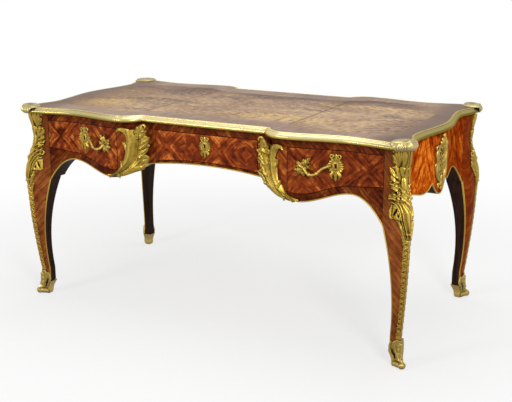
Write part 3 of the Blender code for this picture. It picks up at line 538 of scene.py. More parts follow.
def blade(shape, face, spine, widths, crown, lift=(0.0,), teeth=0, bite=0.5, hook=0.6, sides=(1, 1),
          vein=0.0, hollow=0.0, flutes=0, count=30, across=8, body=CAST_BODY, mark=FACE):
    """A leaf, scroll or bead laid on a face along a spine.

    widths and lift are values along it, the first being half widths. Teeth are the lobes of a leaf's edge,
    on the sides that are asked for, bitten in and hooked forwards. A vein is a ridge, hollow dishes the
    section, and flutes ripple it. body is how thick it is where it stands clear.
    """
    widest = max(widths)
    top = []
    low = []
    for t in steps(0.0, 1.0, count):
        place = along(spine, t)
        ahead = heading(spine, t)
        aside = Vector((-ahead.y, ahead.x))
        half = ramp(widths, t)
        raised = ramp(lift, t)
        lobe = abs(sin(pi * teeth * t)) ** LOBE_ROUND if teeth else 1.0
        swell = crown * sqrt(half / widest)
        top_row = []
        low_row = []
        for s in steps(-1.0, 1.0, across):
            toothed = sides[0] if s < 0.0 else sides[1]
            edge = s * half * (1.0 - toothed * bite * (1.0 - lobe) * abs(s))
            forward = hook * half * toothed * lobe * s * s if teeth else 0.0
            spot = place + aside * edge + ahead * forward
            bulge = mix(sqrt(max(1.0 - s * s, 0.0)), s * s, hollow)
            bulge += vein * exp(-(s / VEIN_WIDTH) ** 2)
            if teeth:
                bulge *= 1.0 - TOOTH_FALL * toothed * (1.0 - lobe) * abs(s)
            if flutes:
                bulge *= 1.0 - FLUTE_DEPTH + FLUTE_DEPTH * cos(pi * flutes * s)
            top_row.append(face(spot.x, spot.y, raised + CAST_EDGE + swell * bulge))
            low_row.append(face(spot.x, spot.y, max(raised - body, -SINK)))
        top.append(top_row)
        low.append(low_row)
    shape.slab(top, low, [[mark] * across] * count, mark)


def relief(shape, face, levels, inner, outer, height, across=24, body=1.0):
    """A casting laid on a face between two edges given at each level, with a relief on its front.

    height gives the relief at a share of the way across and a level, and body is how thick the casting is
    where it stands clear.
    """
    top = []
    low = []
    for z in levels:
        first = inner(z)
        last = outer(z)
        places = [(mix(first, last, s), height(s, mix(first, last, s), z)) for s in steps(0.0, 1.0, across)]
        top.append([face(u, z, off) for u, off in places])
        low.append([face(u, z, max(off - body, -SINK)) for u, off in places])
    shape.slab(top, low)


def dome(shape, face, u, z, radius_u, radius_z, height, tilt=0.0, around=16, levels=5):
    """A rounded boss on a face."""
    rings = []
    for level in range(-1, levels):
        angle = max(level, 0) / levels * pi / 2
        share = cos(angle)
        off = sin(angle) * height if level >= 0 else -SINK
        ring = []
        for k in range(around):
            a = share * radius_u * cos(tau * k / around)
            b = share * radius_z * sin(tau * k / around)
            ring.append(face(u + a * cos(tilt) - b * sin(tilt), z + a * sin(tilt) + b * cos(tilt), off))
        rings.append(ring)
    shape.tube(rings)


def rod(shape, points, radii, count=40, around=10):
    """A round bar through points in space, with radii along it."""
    rings = []
    for t in steps(0.0, 1.0, count):
        place = along(points, t)
        ahead = heading(points, t)
        first = ahead.cross(Vector((0.0, 0.0, 1.0))).normalized()
        second = first.cross(ahead)
        radius = ramp(radii, t)
        rings.append([tuple(place + (first * cos(a) + second * sin(a)) * radius)
                      for a in steps(0.0, tau, around)[:-1]])
    shape.tube(rings)


# Materials

class Look:
    """A procedural material under construction."""

    def __init__(self, name):
        self.material = bpy.data.materials.new(name)
        self.material.use_nodes = True
        self.tree = self.material.node_tree
        self.shader = self.tree.nodes["Principled BSDF"]
        self.position = self.node("TexCoord").outputs["Object"]
        parts = self.node("SeparateXYZ", {"Vector": self.position})
        self.x, self.y, self.z = parts.outputs

    def node(self, kind, inputs=None, **settings):
        node = self.tree.nodes.new("ShaderNode" + kind)
        for key, value in settings.items():
            setattr(node, key, value)
        for key, value in (inputs or {}).items():
            self.feed(node.inputs[key], value)
        return node

    def feed(self, socket, value):
        if isinstance(value, bpy.types.NodeSocket):
            self.tree.links.new(value, socket)
        else:
            socket.default_value = value

    def math(self, operation, *values):
        inputs = dict(enumerate(values))
        return self.node("Math", inputs, operation=operation).outputs[0]

    def plus(self, value, other):
        return self.math('ADD', value, other)

    def minus(self, value, other):
        return self.math('SUBTRACT', value, other)

    def times(self, value, other):
        return self.math('MULTIPLY', value, other)

    def most(self, value, other):
        return self.math('MAXIMUM', value, other)

    def absolute(self, value):
        return self.math('ABSOLUTE', value)

    def vector(self, x, y, z=0.0):
        return self.node("CombineXYZ", {"X": x, "Y": y, "Z": z}).outputs[0]

    def length(self, vector):
        return self.node("VectorMath", {0: vector}, operation='LENGTH').outputs["Value"]

    def noise(self, vector, scale, detail=4.0, roughness=0.55, distortion=0.0):
        inputs = {"Vector": vector, "Scale": scale, "Detail": detail, "Roughness": roughness,
                  "Distortion": distortion}
        return self.node("TexNoise", inputs).outputs["Fac"]

    def stretched(self, places, fineness):
        """A vector of three values, each times its own fineness."""
        return self.vector(*(self.times(value, scale) for value, scale in zip(places, fineness)))

    def grain(self, places, fineness, *settings):
        """Noise over three values, each times its own fineness."""
        return self.noise(self.stretched(places, fineness), 1.0, *settings)

    def span(self, value, low, high, to_low=0.0, to_high=1.0):
        """A value mapped from one range to another, and kept inside it."""
        inputs = {"Value": value, "From Min": low, "From Max": high, "To Min": to_low, "To Max": to_high}
        return self.node("MapRange", inputs, interpolation_type='SMOOTHSTEP').outputs["Result"]

    def weigh(self, *pairs):
        """Weighed sum of values that each swing about a half, about a half again."""
        total = 0.5 - sum(weight for value, weight in pairs) / 2
        for value, weight in pairs:
            total = self.math('MULTIPLY_ADD', value, weight, total)
        return total

    def blend(self, share, first, second):
        node = self.node("Mix", data_type='RGBA')
        self.feed(node.inputs["Factor"], share)
        self.feed(node.inputs["A"], self.colour(first))
        self.feed(node.inputs["B"], self.colour(second))
        return node.outputs["Result"]

    def layered(self, colour, layers):
        """A colour with others laid over it in turn, as (share, colour) pairs."""
        for share, shade in layers:
            colour = self.blend(share, colour, shade)
        return colour

    @staticmethod
    def colour(value):
        return value if isinstance(value, bpy.types.NodeSocket) else (*value, 1.0)

    def shades(self, value, stops):
        """Colours along a value, from (place, colour) pairs."""
        node = self.node("ValToRGB", {"Fac": value})
        elements = node.color_ramp.elements
        while len(elements) < len(stops):
            elements.new(1.0)
        for element, (place, colour) in zip(elements, stops):
            element.position = place
            element.color = (*colour, 1.0)
        return node.outputs["Color"]

    def finish(self, colour, roughness, bump=None, strength=0.3, **sockets):
        """Feed the shader; sockets are named with underscores for spaces."""
        self.feed(self.shader.inputs["Base Color"], colour)
        self.feed(self.shader.inputs["Roughness"], roughness)
        for key, value in sockets.items():
            self.feed(self.shader.inputs[key.replace("_", " ")], value)
        if bump is not None:
            inputs = {"Height": bump, "Strength": strength, "Distance": 0.001}
            self.feed(self.shader.inputs["Normal"], self.node("Bump", inputs).outputs["Normal"])
        return self.material


# Kingwood: shades from the dark veins to the pale flashes, and where they lie along the figure
KINGWOOD = ((0.060, 0.009, 0.003), (0.185, 0.030, 0.006), (0.320, 0.066, 0.012), (0.660, 0.210, 0.038))
# Ends: brighter and more orange than the front, partly their own veneer and partly painted light falling on
# them from the right
END_KINGWOOD_LIT = ((0.190, 0.022, 0.003), (0.460, 0.064, 0.004), (0.650, 0.110, 0.006), (0.960, 0.280, 0.025))
LEG_KINGWOOD = ((0.110, 0.026, 0.006), (0.215, 0.056, 0.012), (0.290, 0.084, 0.019), (0.400, 0.135, 0.034))
SHADE_PLACES = (0.12, 0.42, 0.66, 1.0)
JOINT_SHADE = (0.026, 0.006, 0.003)
SLANT = radians(45)         # usual tilt of the strips
WAVE = 0.020                # how far the grain wanders from straight
WAVE_SCALE = 13.0
FIGURE = ((420.0, 16.0), (90.0, 14.0), (34.0, 12.0))  # fineness across and along: pores, veins and clouds
VEIN_SHARE = 1.1            # how much of the veins, clouds, blotches and pores shows in the figure
CLOUD_SHARE = 0.9
BLOTCH_SHARE = 1.1
PORE_SHARE = 0.5
STRIP_SHARE = 0.22          # how much the strips differ
STRIP_SHIFT = 9.0           # how far the figure moves from strip to strip, at most
FLASH_BLOTCH = (0.52, 0.66)  # ranges over which blotches and veins begin to flash
FLASH_VEIN = (0.42, 0.60)
JOINT_RANGE = (0.440, 0.495)  # from the middle of a strip, in widths
PORE_RANGE = (0.30, 0.42, 0.6, 0.0)
DEEP_TOP = (-0.02, 0.12)    # heights above the knee between which a leg darkens
BACK_SHADE_DEPTHS = (0.0, 0.16)     # depths between which painted shade darkens an end towards the back


def deeper(shades, share):
    return tuple(tuple(part * share for part in shade) for shade in shades)


def turned(look, run, rise, tilt):
    """Places across and along strips that lie at a tilt."""
    across = look.math('MULTIPLY_ADD', run, cos(tilt), look.times(rise, sin(tilt)))
    lengthwise = look.math('MULTIPLY_ADD', run, -sin(tilt), look.times(rise, cos(tilt)))
    return across, lengthwise


def strip_value(look, count, seed):
    """A random value for each strip, counted along by count."""
    index = look.plus(look.math('FLOOR', count), seed)
    return look.node("TexWhiteNoise", {"W": index}, noise_dimensions='1D').outputs["Value"]


def veneer(name, lay, shades, strip, seams, seed, tilt=SLANT, flash=0.5, swing=1.0, deep_top=0.0,
           back_shade=0.0, gloss=0.03):
    """Strips of figured veneer laid at a tilt.

    lay gives the coordinates along and up from the look, so that the strips can meet in chevrons and
    lozenges. strip is their width, seams how dark their joints are, seed what they are drawn from, flash
    how much of the pale figure shows, swing how strongly the figure shows, deep_top how far it darkens
    above the knee, back_shade how far painted shade darkens it towards the back of the desk, and gloss its
    polish.
    """
    look = Look(name)
    across, lengthwise = turned(look, *lay(look), tilt)
    count = look.math('DIVIDE', across, strip)
    own = strip_value(look, count, seed)
    wave = look.math('MULTIPLY_ADD', look.noise(look.position, WAVE_SCALE, 3.0), WAVE, -WAVE / 2)
    places = (look.plus(across, wave), lengthwise, look.times(own, STRIP_SHIFT))
    fine, broad, cloud = (look.grain(places, (*fineness, 1.0), 3.0) for fineness in FIGURE)
    blotch = look.noise(look.position, 30.0, 4.0, 0.65, 0.6)
    figure = look.weigh((broad, VEIN_SHARE * swing), (cloud, CLOUD_SHARE * swing),
                        (blotch, BLOTCH_SHARE * swing), (fine, PORE_SHARE), (own, STRIP_SHARE))
    glow = look.times(look.span(blotch, *FLASH_BLOTCH), look.span(broad, *FLASH_VEIN))
    from_middle = look.absolute(look.minus(look.math('FRACT', count), 0.5))
    joint = look.times(look.span(from_middle, *JOINT_RANGE), seams)
    layers = [(look.times(glow, flash), shades[3]), (joint, JOINT_SHADE),
              (look.span(fine, *PORE_RANGE), shades[0])]
    if deep_top:
        low, high = DEEP_TOP
        layers.append((look.span(look.z, knee_z + low, knee_z + high, 0.0, deep_top), shades[0]))
    # painted shade: darker towards the back of the desk
    if back_shade:
        layers.append((look.span(look.y, *BACK_SHADE_DEPTHS, 0.0, back_shade), shades[0]))
    colour = look.layered(look.shades(figure, list(zip(SHADE_PLACES, shades))), layers)
    rough = look.span(broad, 0.3, 0.7, 0.24, 0.36)
    return look.finish(colour, rough, look.minus(fine, joint), 0.12, Specular_IOR_Level=gloss)


def lozenges(middle, half, height):
    """Lay of veneer in lozenges: folded about middles a half width apart, and about a height."""
    return lambda look: (look.math('PINGPONG', look.minus(look.x, middle), half),
                         look.absolute(look.minus(look.z, height)))


def outwards(look):
    """Lay that is the same to both sides of the desk."""
    return look.absolute(look.x), look.z


def along_the_end(look):
    """Lay folded over half way from the middle of an end to each leg."""
    return look.absolute(look.minus(look.absolute(look.y), END_LOBE_Y)), look.z


def round_leg(look):
    """Lay that runs round the outer faces of a leg."""
    return look.minus(look.absolute(look.x), look.absolute(look.y)), look.z


# Bronze: ranges of place, relief and direction over which it changes
# places where the edge moulding takes painted shade, a darker reflection, towards its corners, ends and left
SHADED_LEFT = (-0.20, -0.45, 0.0, 0.6)
SHADED_ENDS = (0.55, 0.79)
DULL_LEGS = (0.30, 0.48, 0.7, 0.0)
PATCHED = (0.35, 0.70)
# pointiness over which edges brighten: partly rubbing, partly painted highlight
RUBBED_EDGE_AND_HIGHLIGHT = (0.50, 0.58)
# normals over which what faces up takes the crest colour, a painted highlight of the bright sky mirrored
# there
SKY_HIGHLIGHT_FACING = (0.20, 0.80)
# normals over which what faces down goes to the deep colour, as painted shade
SHADE_UNDER_FACING = (-0.75, 0.15, 0.7, 0.0)
OPEN_SKY = (0.10, 0.85)
PATCH_SHARE = 0.30          # how far the patches go to the colour of the hollows
# how far those edges brighten, rubbed and painted highlight together
RUB_AND_HIGHLIGHT_SHARE = 0.7


def shade_to_the_corners(look):
    """Where the edge moulding takes painted shade, a darker reflection painted towards the corners, round the
    ends and to the left.
    """
    return look.most(look.span(look.absolute(look.x), *SHADED_ENDS), look.span(look.x, *SHADED_LEFT))


def down_the_legs(look):
    """Where the mounts have gone dull: down the legs, away from hands that rub them."""
    return look.span(look.z, *DULL_LEGS)


def bronze(name, bright, deep, stipple=0.25, polish=0.32, dull_and_shade=None, tarnish_and_shade=None, crest=None, reach=0.010,
           sheen=(1.0, 1.0, 1.0)):
    """Fire-gilt bronze: rubbed bright on its edges with painted highlight, brown in its hollows, painted
    shade underneath, matted in patches.

    dull_and_shade gives the share of each place that goes to tarnish_and_shade: tarnish down the legs, and on
    the edge moulding painted shade for its darker reflection. crest is a painted highlight for what looks up,
    the bright sky mirrored there, reach how far the brown comes out of the hollows, and sheen the tint of
    what it mirrors at a low angle.
    """
    look = Look(name)
    open_sky = look.node("AmbientOcclusion", {"Distance": reach}, samples=8).outputs["AO"]
    patch = look.noise(look.position, 38.0, 3.0)
    speck = look.noise(look.position, 950.0, 2.0)
    geometry = look.node("NewGeometry")
    facing = look.node("SeparateXYZ", {"Vector": geometry.outputs["Normal"]}).outputs["Z"]
    # edges brightened as rubbed gilding and as painted highlight
    rubbed_and_highlit = look.span(geometry.outputs["Pointiness"], *RUBBED_EDGE_AND_HIGHLIGHT)
    lit = look.span(facing, *SKY_HIGHLIGHT_FACING)
    layers = [(look.span(patch, *PATCHED), [mix(a, b, PATCH_SHARE) for a, b in zip(bright, deep)]),
              (look.times(rubbed_and_highlit, RUB_AND_HIGHLIGHT_SHARE), [min(c * 1.7 + 0.04, 1.0) for c in bright])]
    # tarnish down the legs; on the moulding, painted shade standing for a darker reflection
    if dull_and_shade:
        gone = dull_and_shade(look)
        layers.append((gone, tarnish_and_shade))
        lit = look.times(lit, look.span(gone, 0.0, 1.0, 1.0, 0.4))
    # painted highlight: what faces up takes the crest colour, the bright sky mirrored there
    if crest:
        layers.append((lit, crest))
    # painted shade: what faces down goes to the deep colour
    layers.append((look.span(facing, *SHADE_UNDER_FACING), deep))
    colour = look.blend(look.span(open_sky, *OPEN_SKY), deep, look.layered(bright, layers))
    rough = look.plus(look.span(patch, 0.3, 0.7, polish, polish + 0.14),
                      look.span(open_sky, 0.2, 0.8, 0.2, 0.0))
    return look.finish(colour, rough, speck, stipple, Metallic=1.0, Specular_Tint=look.colour(sheen))


# Leather: middles and half sizes of its worn spots, then the fineness along x and y, seed and settings of
# the noises that rub, streak, scuff, scratch and stain it
STAINED = ((-0.40, 0.19, 0.16, 0.14), (0.00, 0.25, 0.32, 0.07))
RUBBED = ((-0.55, -0.16, 0.14, 0.11), (0.48, 0.17, 0.20, 0.04), (0.22, -0.17, 0.28, 0.09))
SPOT_RANGE = (1.6, 0.8)
HIDE_NOISES = (
    (5.0, 15.0, 0.0, 5.0, 0.65, 0.5),
    (42.0, 75.0, 4.0, 4.0, 0.7),
    (4.0, 9.0, 8.0, 3.0, 0.6, 0.4),
    (5.0, 210.0, 2.0, 2.0),
    (3.5, 8.0, 3.0, 4.0, 0.6, 1.0),
)
HIDE_SHADES = ((0.10, (0.170, 0.092, 0.056)), (0.40, (0.370, 0.235, 0.145)), (0.60, (0.490, 0.330, 0.205)),
               (0.90, (0.650, 0.460, 0.270)))
HIDE_BROWNED = (0.230, 0.130, 0.060)
HIDE_FADED = (0.130, 0.072, 0.052)
HIDE_GOLDEN = (0.820, 0.560, 0.220)
HIDE_STAIN = (0.100, 0.070, 0.062)
HIDE_SCRATCH = (0.800, 0.680, 0.520)
HIDE_SEAM = (0.100, 0.056, 0.036)
HIDE_EDGE = (0.150, 0.095, 0.070)


def spots(look, places, fray):
    """How far a place lies inside worn spots, whose edges fray with a value that swings about a half."""
    inside = 0.0
    for x, y, half_x, half_y in places:
        across = look.math('DIVIDE', look.minus(look.x, x), half_x)
        deep = look.math('DIVIDE', look.minus(look.y, y), half_y)
        far = look.plus(look.length(look.vector(across, deep)), fray)
        inside = look.most(inside, look.span(far, *SPOT_RANGE))
    return inside


def leather():
    """Old hide: tan, rubbed golden in patches, stained along its edges and seams, and scratched."""
    look = Look("old_leather")
    cloud = look.noise(look.position, 3.4, 5.0, 0.62, 0.8)
    rub, streak, scuff, scratch, stain = (
        look.grain((look.x, look.y, seed), (fine_x, fine_y, 1.0), *settings)
        for fine_x, fine_y, seed, *settings in HIDE_NOISES)
    pebble = look.node("TexVoronoi", {"Vector": look.position, "Scale": 900.0}).outputs["Distance"]
    tone = look.weigh((cloud, 1.1), (rub, 0.9), (streak, 1.8))
    browned = look.times(look.span(look.x, -0.30, -0.62), look.span(cloud, 0.35, 0.60, 0.25, 0.6))
    faded = look.times(look.span(look.y, 0.08, 0.30), look.span(cloud, 0.40, 0.60, 0.80, 0.35))
    scuffed = look.most(look.span(scuff, 0.54, 0.66, 0.0, 0.6), spots(look, RUBBED, rub))
    golden = look.times(scuffed, look.span(streak, 0.40, 0.58))
    soiled = look.most(look.span(stain, 0.52, 0.66), spots(look, STAINED, rub))
    dark = look.times(soiled, look.span(streak, 0.70, 0.40))
    white = look.times(look.span(scratch, 0.66, 0.74), look.span(cloud, 0.46, 0.56))
    edge = look.absolute(look.x)
    seam = look.absolute(look.minus(edge, SEAM_X))
    colour = look.layered(look.shades(tone, HIDE_SHADES), (
        (browned, HIDE_BROWNED),
        (faded, HIDE_FADED),
        (look.times(golden, 0.65), HIDE_GOLDEN),
        (look.times(dark, 0.75), HIDE_STAIN),
        (look.times(white, 0.6), HIDE_SCRATCH),
        (look.span(seam, 0.001, 0.008, 0.65, 0.0), HIDE_SEAM),
        (look.span(edge, 0.60, 0.69, 0.0, 0.4), HIDE_EDGE)))
    rough = look.span(rub, 0.3, 0.7, 0.42, 0.62)
    return look.finish(colour, rough, pebble, 0.18, Specular_IOR_Level=0.06)


BORDER_SHADES = ((0.15, (0.150, 0.085, 0.060)), (0.50, (0.310, 0.200, 0.140)), (0.85, (0.450, 0.310, 0.215)))
BORDER_AGED = (0.140, 0.070, 0.045)
BORDER_TURN = (0.10, 0.085)  # inside the corner line, where the grain turns at an end
OAK_SHADES = ((0.32, (0.190, 0.095, 0.040)), (0.52, (0.330, 0.190, 0.090)), (0.72, (0.450, 0.290, 0.150)))
OAK_PORE = (0.130, 0.062, 0.027)
OAK_FINENESS = (34.0, 2.2)  # across the grain and along it
EBONY_SHADES = ((0.35, (0.013, 0.006, 0.004)), (0.70, (0.040, 0.019, 0.012)))
IRON_SHADES = ((0.40, (0.270, 0.260, 0.245)), (0.65, (0.160, 0.105, 0.070)))


def border_veneer():
    """Faded crossbanding round the leather, bleached to grey by the light."""
    look = Look("border_veneer")
    aside = look.absolute(look.x)
    start, end = BORDER_TURN
    lengthwise = look.span(aside, corner_x - start, corner_x - end)
    run = look.node("Mix", {"Factor": lengthwise}, data_type='FLOAT')
    look.feed(run.inputs["A"], look.x)
    look.feed(run.inputs["B"], look.y)
    along_edge = look.times(run.outputs["Result"], 26.0)
    grain = look.grain((along_edge, look.x, look.y), (11.0, 9.0, 9.0))
    cloud = look.noise(look.position, 7.0, 4.0)
    tone = look.weigh((grain, 1.1), (cloud, 1.1))
    aged = look.span(aside, 0.60, 0.74, 0.0, 0.8)
    colour = look.blend(aged, look.shades(tone, BORDER_SHADES), BORDER_AGED)
    return look.finish(colour, 0.34, grain, 0.10, Specular_IOR_Level=0.03)


def oak(name, lengthwise):
    """Plain oak of the drawers and carcass, with its grain along one axis of the desk."""
    look = Look(name)
    across, fine_along = OAK_FINENESS
    fineness = [fine_along if axis == lengthwise else across for axis in range(3)]
    scaled = look.stretched((look.x, look.y, look.z), fineness)
    grain = look.noise(scaled, 1.0, 5.0, 0.6, 0.4)
    pore = look.noise(scaled, 9.0, 2.0)
    colour = look.blend(look.span(pore, 0.30, 0.42, 0.55, 0.0), look.shades(grain, OAK_SHADES), OAK_PORE)
    rough = look.span(grain, 0.3, 0.7, 0.55, 0.72)
    return look.finish(colour, rough, pore, 0.2, Specular_IOR_Level=0.25)


def ebonised_and_shadow():
    """Blackened inner faces of the legs and edges, and the dark that paints shadow round the drawer fronts
    and in the openings of the mounts and shoes.
    """
    look = Look("ebonised_and_shadow")
    grain = look.grain((look.x, look.y, look.z), (90.0, 90.0, 5.0))
    rough = look.span(grain, 0.3, 0.7, 0.36, 0.5)
    return look.finish(look.shades(grain, EBONY_SHADES), rough, grain, 0.15, Specular_IOR_Level=0.03)


def steel():
    """Iron of the locks, grey with a brown bloom."""
    look = Look("lock_iron")
    bloom = look.noise(look.position, 60.0, 4.0)
    brushed = look.grain((look.x, look.y, look.z), (40.0, 1.0, 900.0), 2.0)
    rough = look.span(brushed, 0.3, 0.7, 0.3, 0.5)
    return look.finish(look.shades(bloom, IRON_SHADES), rough, brushed, 0.1, Metallic=1.0)


DRAWER_LEVEL = carcass_top - 0.085      # fold of the drawers' lozenges
CENTRE_MIDDLE = -0.054
CENTRE_LOZENGE = 0.110                  # half widths of the lozenges
SIDE_LOZENGE = 0.115
SIDE_MIDDLE = (SIDE_DRAWER_START + stile_x) / 2
LOOKS = {
    "centre_drawer": veneer("kingwood_centre", lozenges(CENTRE_MIDDLE, CENTRE_LOZENGE, DRAWER_LEVEL),
                            deeper(KINGWOOD, 1.2), strip=0.024, seams=0.65, seed=11.0),
    "left_drawer": veneer("kingwood_left", lozenges(-SIDE_MIDDLE, SIDE_LOZENGE, DRAWER_LEVEL), KINGWOOD,
                          strip=0.026, seams=0.25, seed=23.0, flash=0.7, swing=1.2),
    "right_drawer": veneer("kingwood_right", lozenges(SIDE_MIDDLE, SIDE_LOZENGE, DRAWER_LEVEL), KINGWOOD,
                           strip=0.026, seams=0.25, seed=37.0, flash=0.4),
    "rail": veneer("kingwood_crossband", outwards, deeper(KINGWOOD, 0.60), strip=0.018, seams=0.6, seed=5.0,
                   flash=0.25),
    "post": veneer("kingwood_post", outwards, deeper(KINGWOOD, 0.95), strip=0.022, seams=0.3, seed=43.0,
                   flash=0.4),
    "apron": veneer("kingwood_apron", outwards, deeper(KINGWOOD, 0.50), strip=0.018, seams=0.5, seed=61.0,
                    flash=0.4),
    # Ends and the legs' end faces: back_shade paints shade towards the back of the desk
    "end": veneer("kingwood_end", along_the_end, END_KINGWOOD_LIT, strip=0.055, seams=0.25, seed=73.0,
                  tilt=radians(20), flash=0.8, swing=1.6, back_shade=0.45, gloss=0.0),
    "end_band": veneer("kingwood_end_band", along_the_end, END_KINGWOOD_LIT, strip=0.030, seams=0.3, seed=83.0,
                       tilt=radians(40), flash=1.0, swing=1.2, back_shade=0.45, gloss=0.0),
    "leg": veneer("kingwood_leg", round_leg, LEG_KINGWOOD, strip=0.016, seams=1.0, seed=97.0,
                  tilt=radians(39), flash=0.2, swing=0.9, deep_top=0.5),
    "leg_end": veneer("kingwood_leg_end", round_leg, deeper(END_KINGWOOD_LIT, 0.70), strip=0.016, seams=0.7,
                      seed=57.0, tilt=radians(20), flash=0.4, back_shade=0.5),
    "border": border_veneer(),
    "leather": leather(),
    "ebony": ebonised_and_shadow(),
    "oak_x": oak("oak_across", 0),
    "oak_y": oak("oak_deep", 1),
    "steel": steel(),
    "bronze": bronze("gilt_bronze", (0.42, 0.285, 0.045), (0.080, 0.046, 0.009), dull_and_shade=down_the_legs,
                     tarnish_and_shade=(0.300, 0.165, 0.026)),
    "handle": bronze("gilt_handle", (0.37, 0.245, 0.040), (0.060, 0.034, 0.006)),
    "shoe": bronze("gilt_shoe", (0.33, 0.230, 0.055), (0.040, 0.026, 0.007)),
    "clasp": bronze("gilt_clasp", (0.43, 0.350, 0.150), (0.060, 0.040, 0.012), stipple=0.20, polish=0.26),
    # edge moulding: its olive tarnish_and_shade paints a darker reflection towards the corners and left, and
    # crest paints the sky's highlight on what looks up
    "moulding": bronze("gilt_moulding", (0.50, 0.380, 0.110), (0.180, 0.120, 0.026), stipple=0.01,
                       polish=0.24, dull_and_shade=shade_to_the_corners, tarnish_and_shade=(0.175, 0.135, 0.026),
                       crest=(0.840, 0.740, 0.440), reach=0.003, sheen=(0.78, 0.70, 0.44)),
}


# Veneered boards

BOARD_SHARES = (0.35, 0.7)  # heights of the rows between a board's edges
FRONT_PITCH = 0.004         # between two stations along the long boards
POST_PITCH = 0.002
STOP_SIZE = 0.010           # lath that stops a side drawer, and how far it reaches behind its front
STOP_REACH = 0.004
DRAWER_EASE = 0.0016        # softened edge of a drawer front, painted dark as the shadow in the gap round the drawer
STRING_HALF = 0.0008        # stringing of the back: half width and crown
STRING_CROWN = 0.0003
BOLT_HALF = (0.0135, 0.0035)
MORTISE_DEPTH = 0.011
KEYHOLE_HALF = (0.003, 0.007)
LOCK_Y = 0.0073             # middle of a lock bolt behind the back of its drawer front
LEG_LEVELS = 70
LEG_FACETS = 12


def eased(values, ease):
    """Stations with an extra one close to each end, for a softened edge."""
    return [values[0], values[0] + ease] + values[1:-1] + [values[-1] - ease, values[-1]]


def board(low, high, lower, upper, face, inner, band=0.0, pitch=PITCH, ease=EASE, rim=FACE):
    """A board from a shaped face to a straight inner one, with softened edges all round the face.

    lower and upper give its edges along the face. A band above zero has a finish of its own, that far up
    from the lower edge, and so have the edges and the inner side. rim is the finish of the softened edge.
    """
    columns = eased(spaced(low, high, pitch), ease)
    last_column = len(columns) - 1
    rows = 4 + len(BOARD_SHARES) + (1 if band else 0)
    top = [[] for row in range(rows)]
    back = [[] for row in range(rows)]
    for c, u in enumerate(columns):
        bottom = lower(u)
        height = upper(u)
        levels = [bottom, bottom + ease] + ([bottom + band] if band else [])
        levels += [mix(bottom + band, height, share) for share in BOARD_SHARES] + [height - ease, height]
        for r, z in enumerate(levels):
            edge = r in (0, rows - 1) or c in (0, last_column)
            top[r].append(face(u, z, -ease if edge else 0.0))
            back[r].append(inner(u, z))
    marks = [[BAND if band and r < 2 else FACE] * last_column for r in range(rows - 1)]
    for r, row in enumerate(marks):
        for c in range(last_column):
            if rim and (r in (0, rows - 2) or c in (0, last_column - 1)):
                row[c] = rim
    shape = Shape()
    shape.slab(top, back, marks, INNER)
    return shape


def level(z):
    return lambda u: z


def to_plane_y(depth):
    return lambda u, z: (u, depth, z)


def flat_front(u, z, off):
    """Front face without the averaging that the mounts use."""
    return (u, front_depth(u) + off, z)


def flat_end(u, z, off):
    return (end_depth(u) + off, u, z)


def lock_places():
    """Name, x, back and height of each drawer's keyhole."""
    return (("left", -key_x, side_back, key_z), ("centre", 0.0, centre_back, centre_key_z),
            ("right", key_x, side_back, key_z))


def make_top_rail():
    """Top rail of the front, with mortises for the lock bolts."""
    end = stile_x - SEAT
    rail = board(-end, end, level(rail_bottom), level(carcass_top), flat_front, to_plane_y(rail_back),
                 pitch=FRONT_PITCH)
    piece = rail.make("front_top_rail_veneer", "rail ebony", "veneer", ["front_top_rail"], (1, -1))
    half_x, half_y = BOLT_HALF
    mortises = []
    for name, x, back, z in lock_places():
        y = -back + LOCK_Y
        mortises.append(((x - half_x, y - half_y, rail_bottom - MORTISE_DEPTH),
                         (x + half_x, y + half_y, rail_bottom + MORTISE_DEPTH)))
    cut(piece, mortises)


def add_drawer_stop(post):
    """Lath behind the inner edge of a side drawer's front."""
    reach = (SIDE_DRAWER_START - STOP_SIZE, SIDE_DRAWER_START + STOP_REACH)
    heights = (front_edge(SIDE_DRAWER_START) + EASE, rail_bottom - SEAT)
    near, far = ([[(x, y, z) for x in reach] for z in heights]
                 for y in (side_back - SLIDE, side_back - SLIDE - STOP_SIZE))
    post.slab(near, far, [[INNER]], INNER)


def make_front():
    """Centre rail, aprons, and the faces of the kneehole posts."""
    half = centre_half - SEAT
    centre = board(-half, half, front_edge, centre_drawer_edge, flat_front, to_plane_y(rail_back))
    centre.make("centre_rail_veneer", "apron ebony", "veneer", ["front_centre_rail"], (1, -1))
    apron = board(SIDE_DRAWER_START + SEAT, stile_x - SEAT, front_edge, drawer_edge, flat_front,
                  to_plane_y(rail_back))
    post = board(centre_half, SIDE_DRAWER_START, front_edge, level(rail_bottom - SEAT),
                 lambda u, z, off: flat_front(u, z, off + FACING),
                 lambda u, z: flat_front(u, z, -2.0 * EASE), pitch=POST_PITCH)
    add_drawer_stop(post)
    for name, side in SIDES.items():
        apron.make("front_apron_veneer_" + name, "apron ebony", "veneer", ["front_apron_" + name], (side, -1))
        post.make("kneehole_post_veneer_" + name, "post ebony", "veneer", (), (side, -1))


def make_back():
    """Back panel with an apron band, and the stringing that draws its dummy drawers."""
    end = stile_x - SEAT
    panel = board(-end, end, front_edge, level(carcass_top), flat_front, to_plane_y(back_inner), APRON_BAND,
                  FRONT_PITCH)
    panel.make("back_panel_veneer", "centre_drawer ebony apron", "veneer", ["back_panel"])

    lines = Shape()

    def string(spine, count):
        blade(lines, front_face, spine, [STRING_HALF], STRING_CROWN, count=count, across=2)

    string(lambda t: (mix(-end, end, t), rail_bottom), 240)
    for side in SIDES.values():
        for x, band in ((centre_half, CENTRE_BAND), (SIDE_DRAWER_START, APRON_BAND)):
            foot = front_edge(x) + band
            string(lambda t: (side * x, mix(foot, rail_bottom, t)), 8)
    lines.make("back_stringing", "ebony", "veneer")


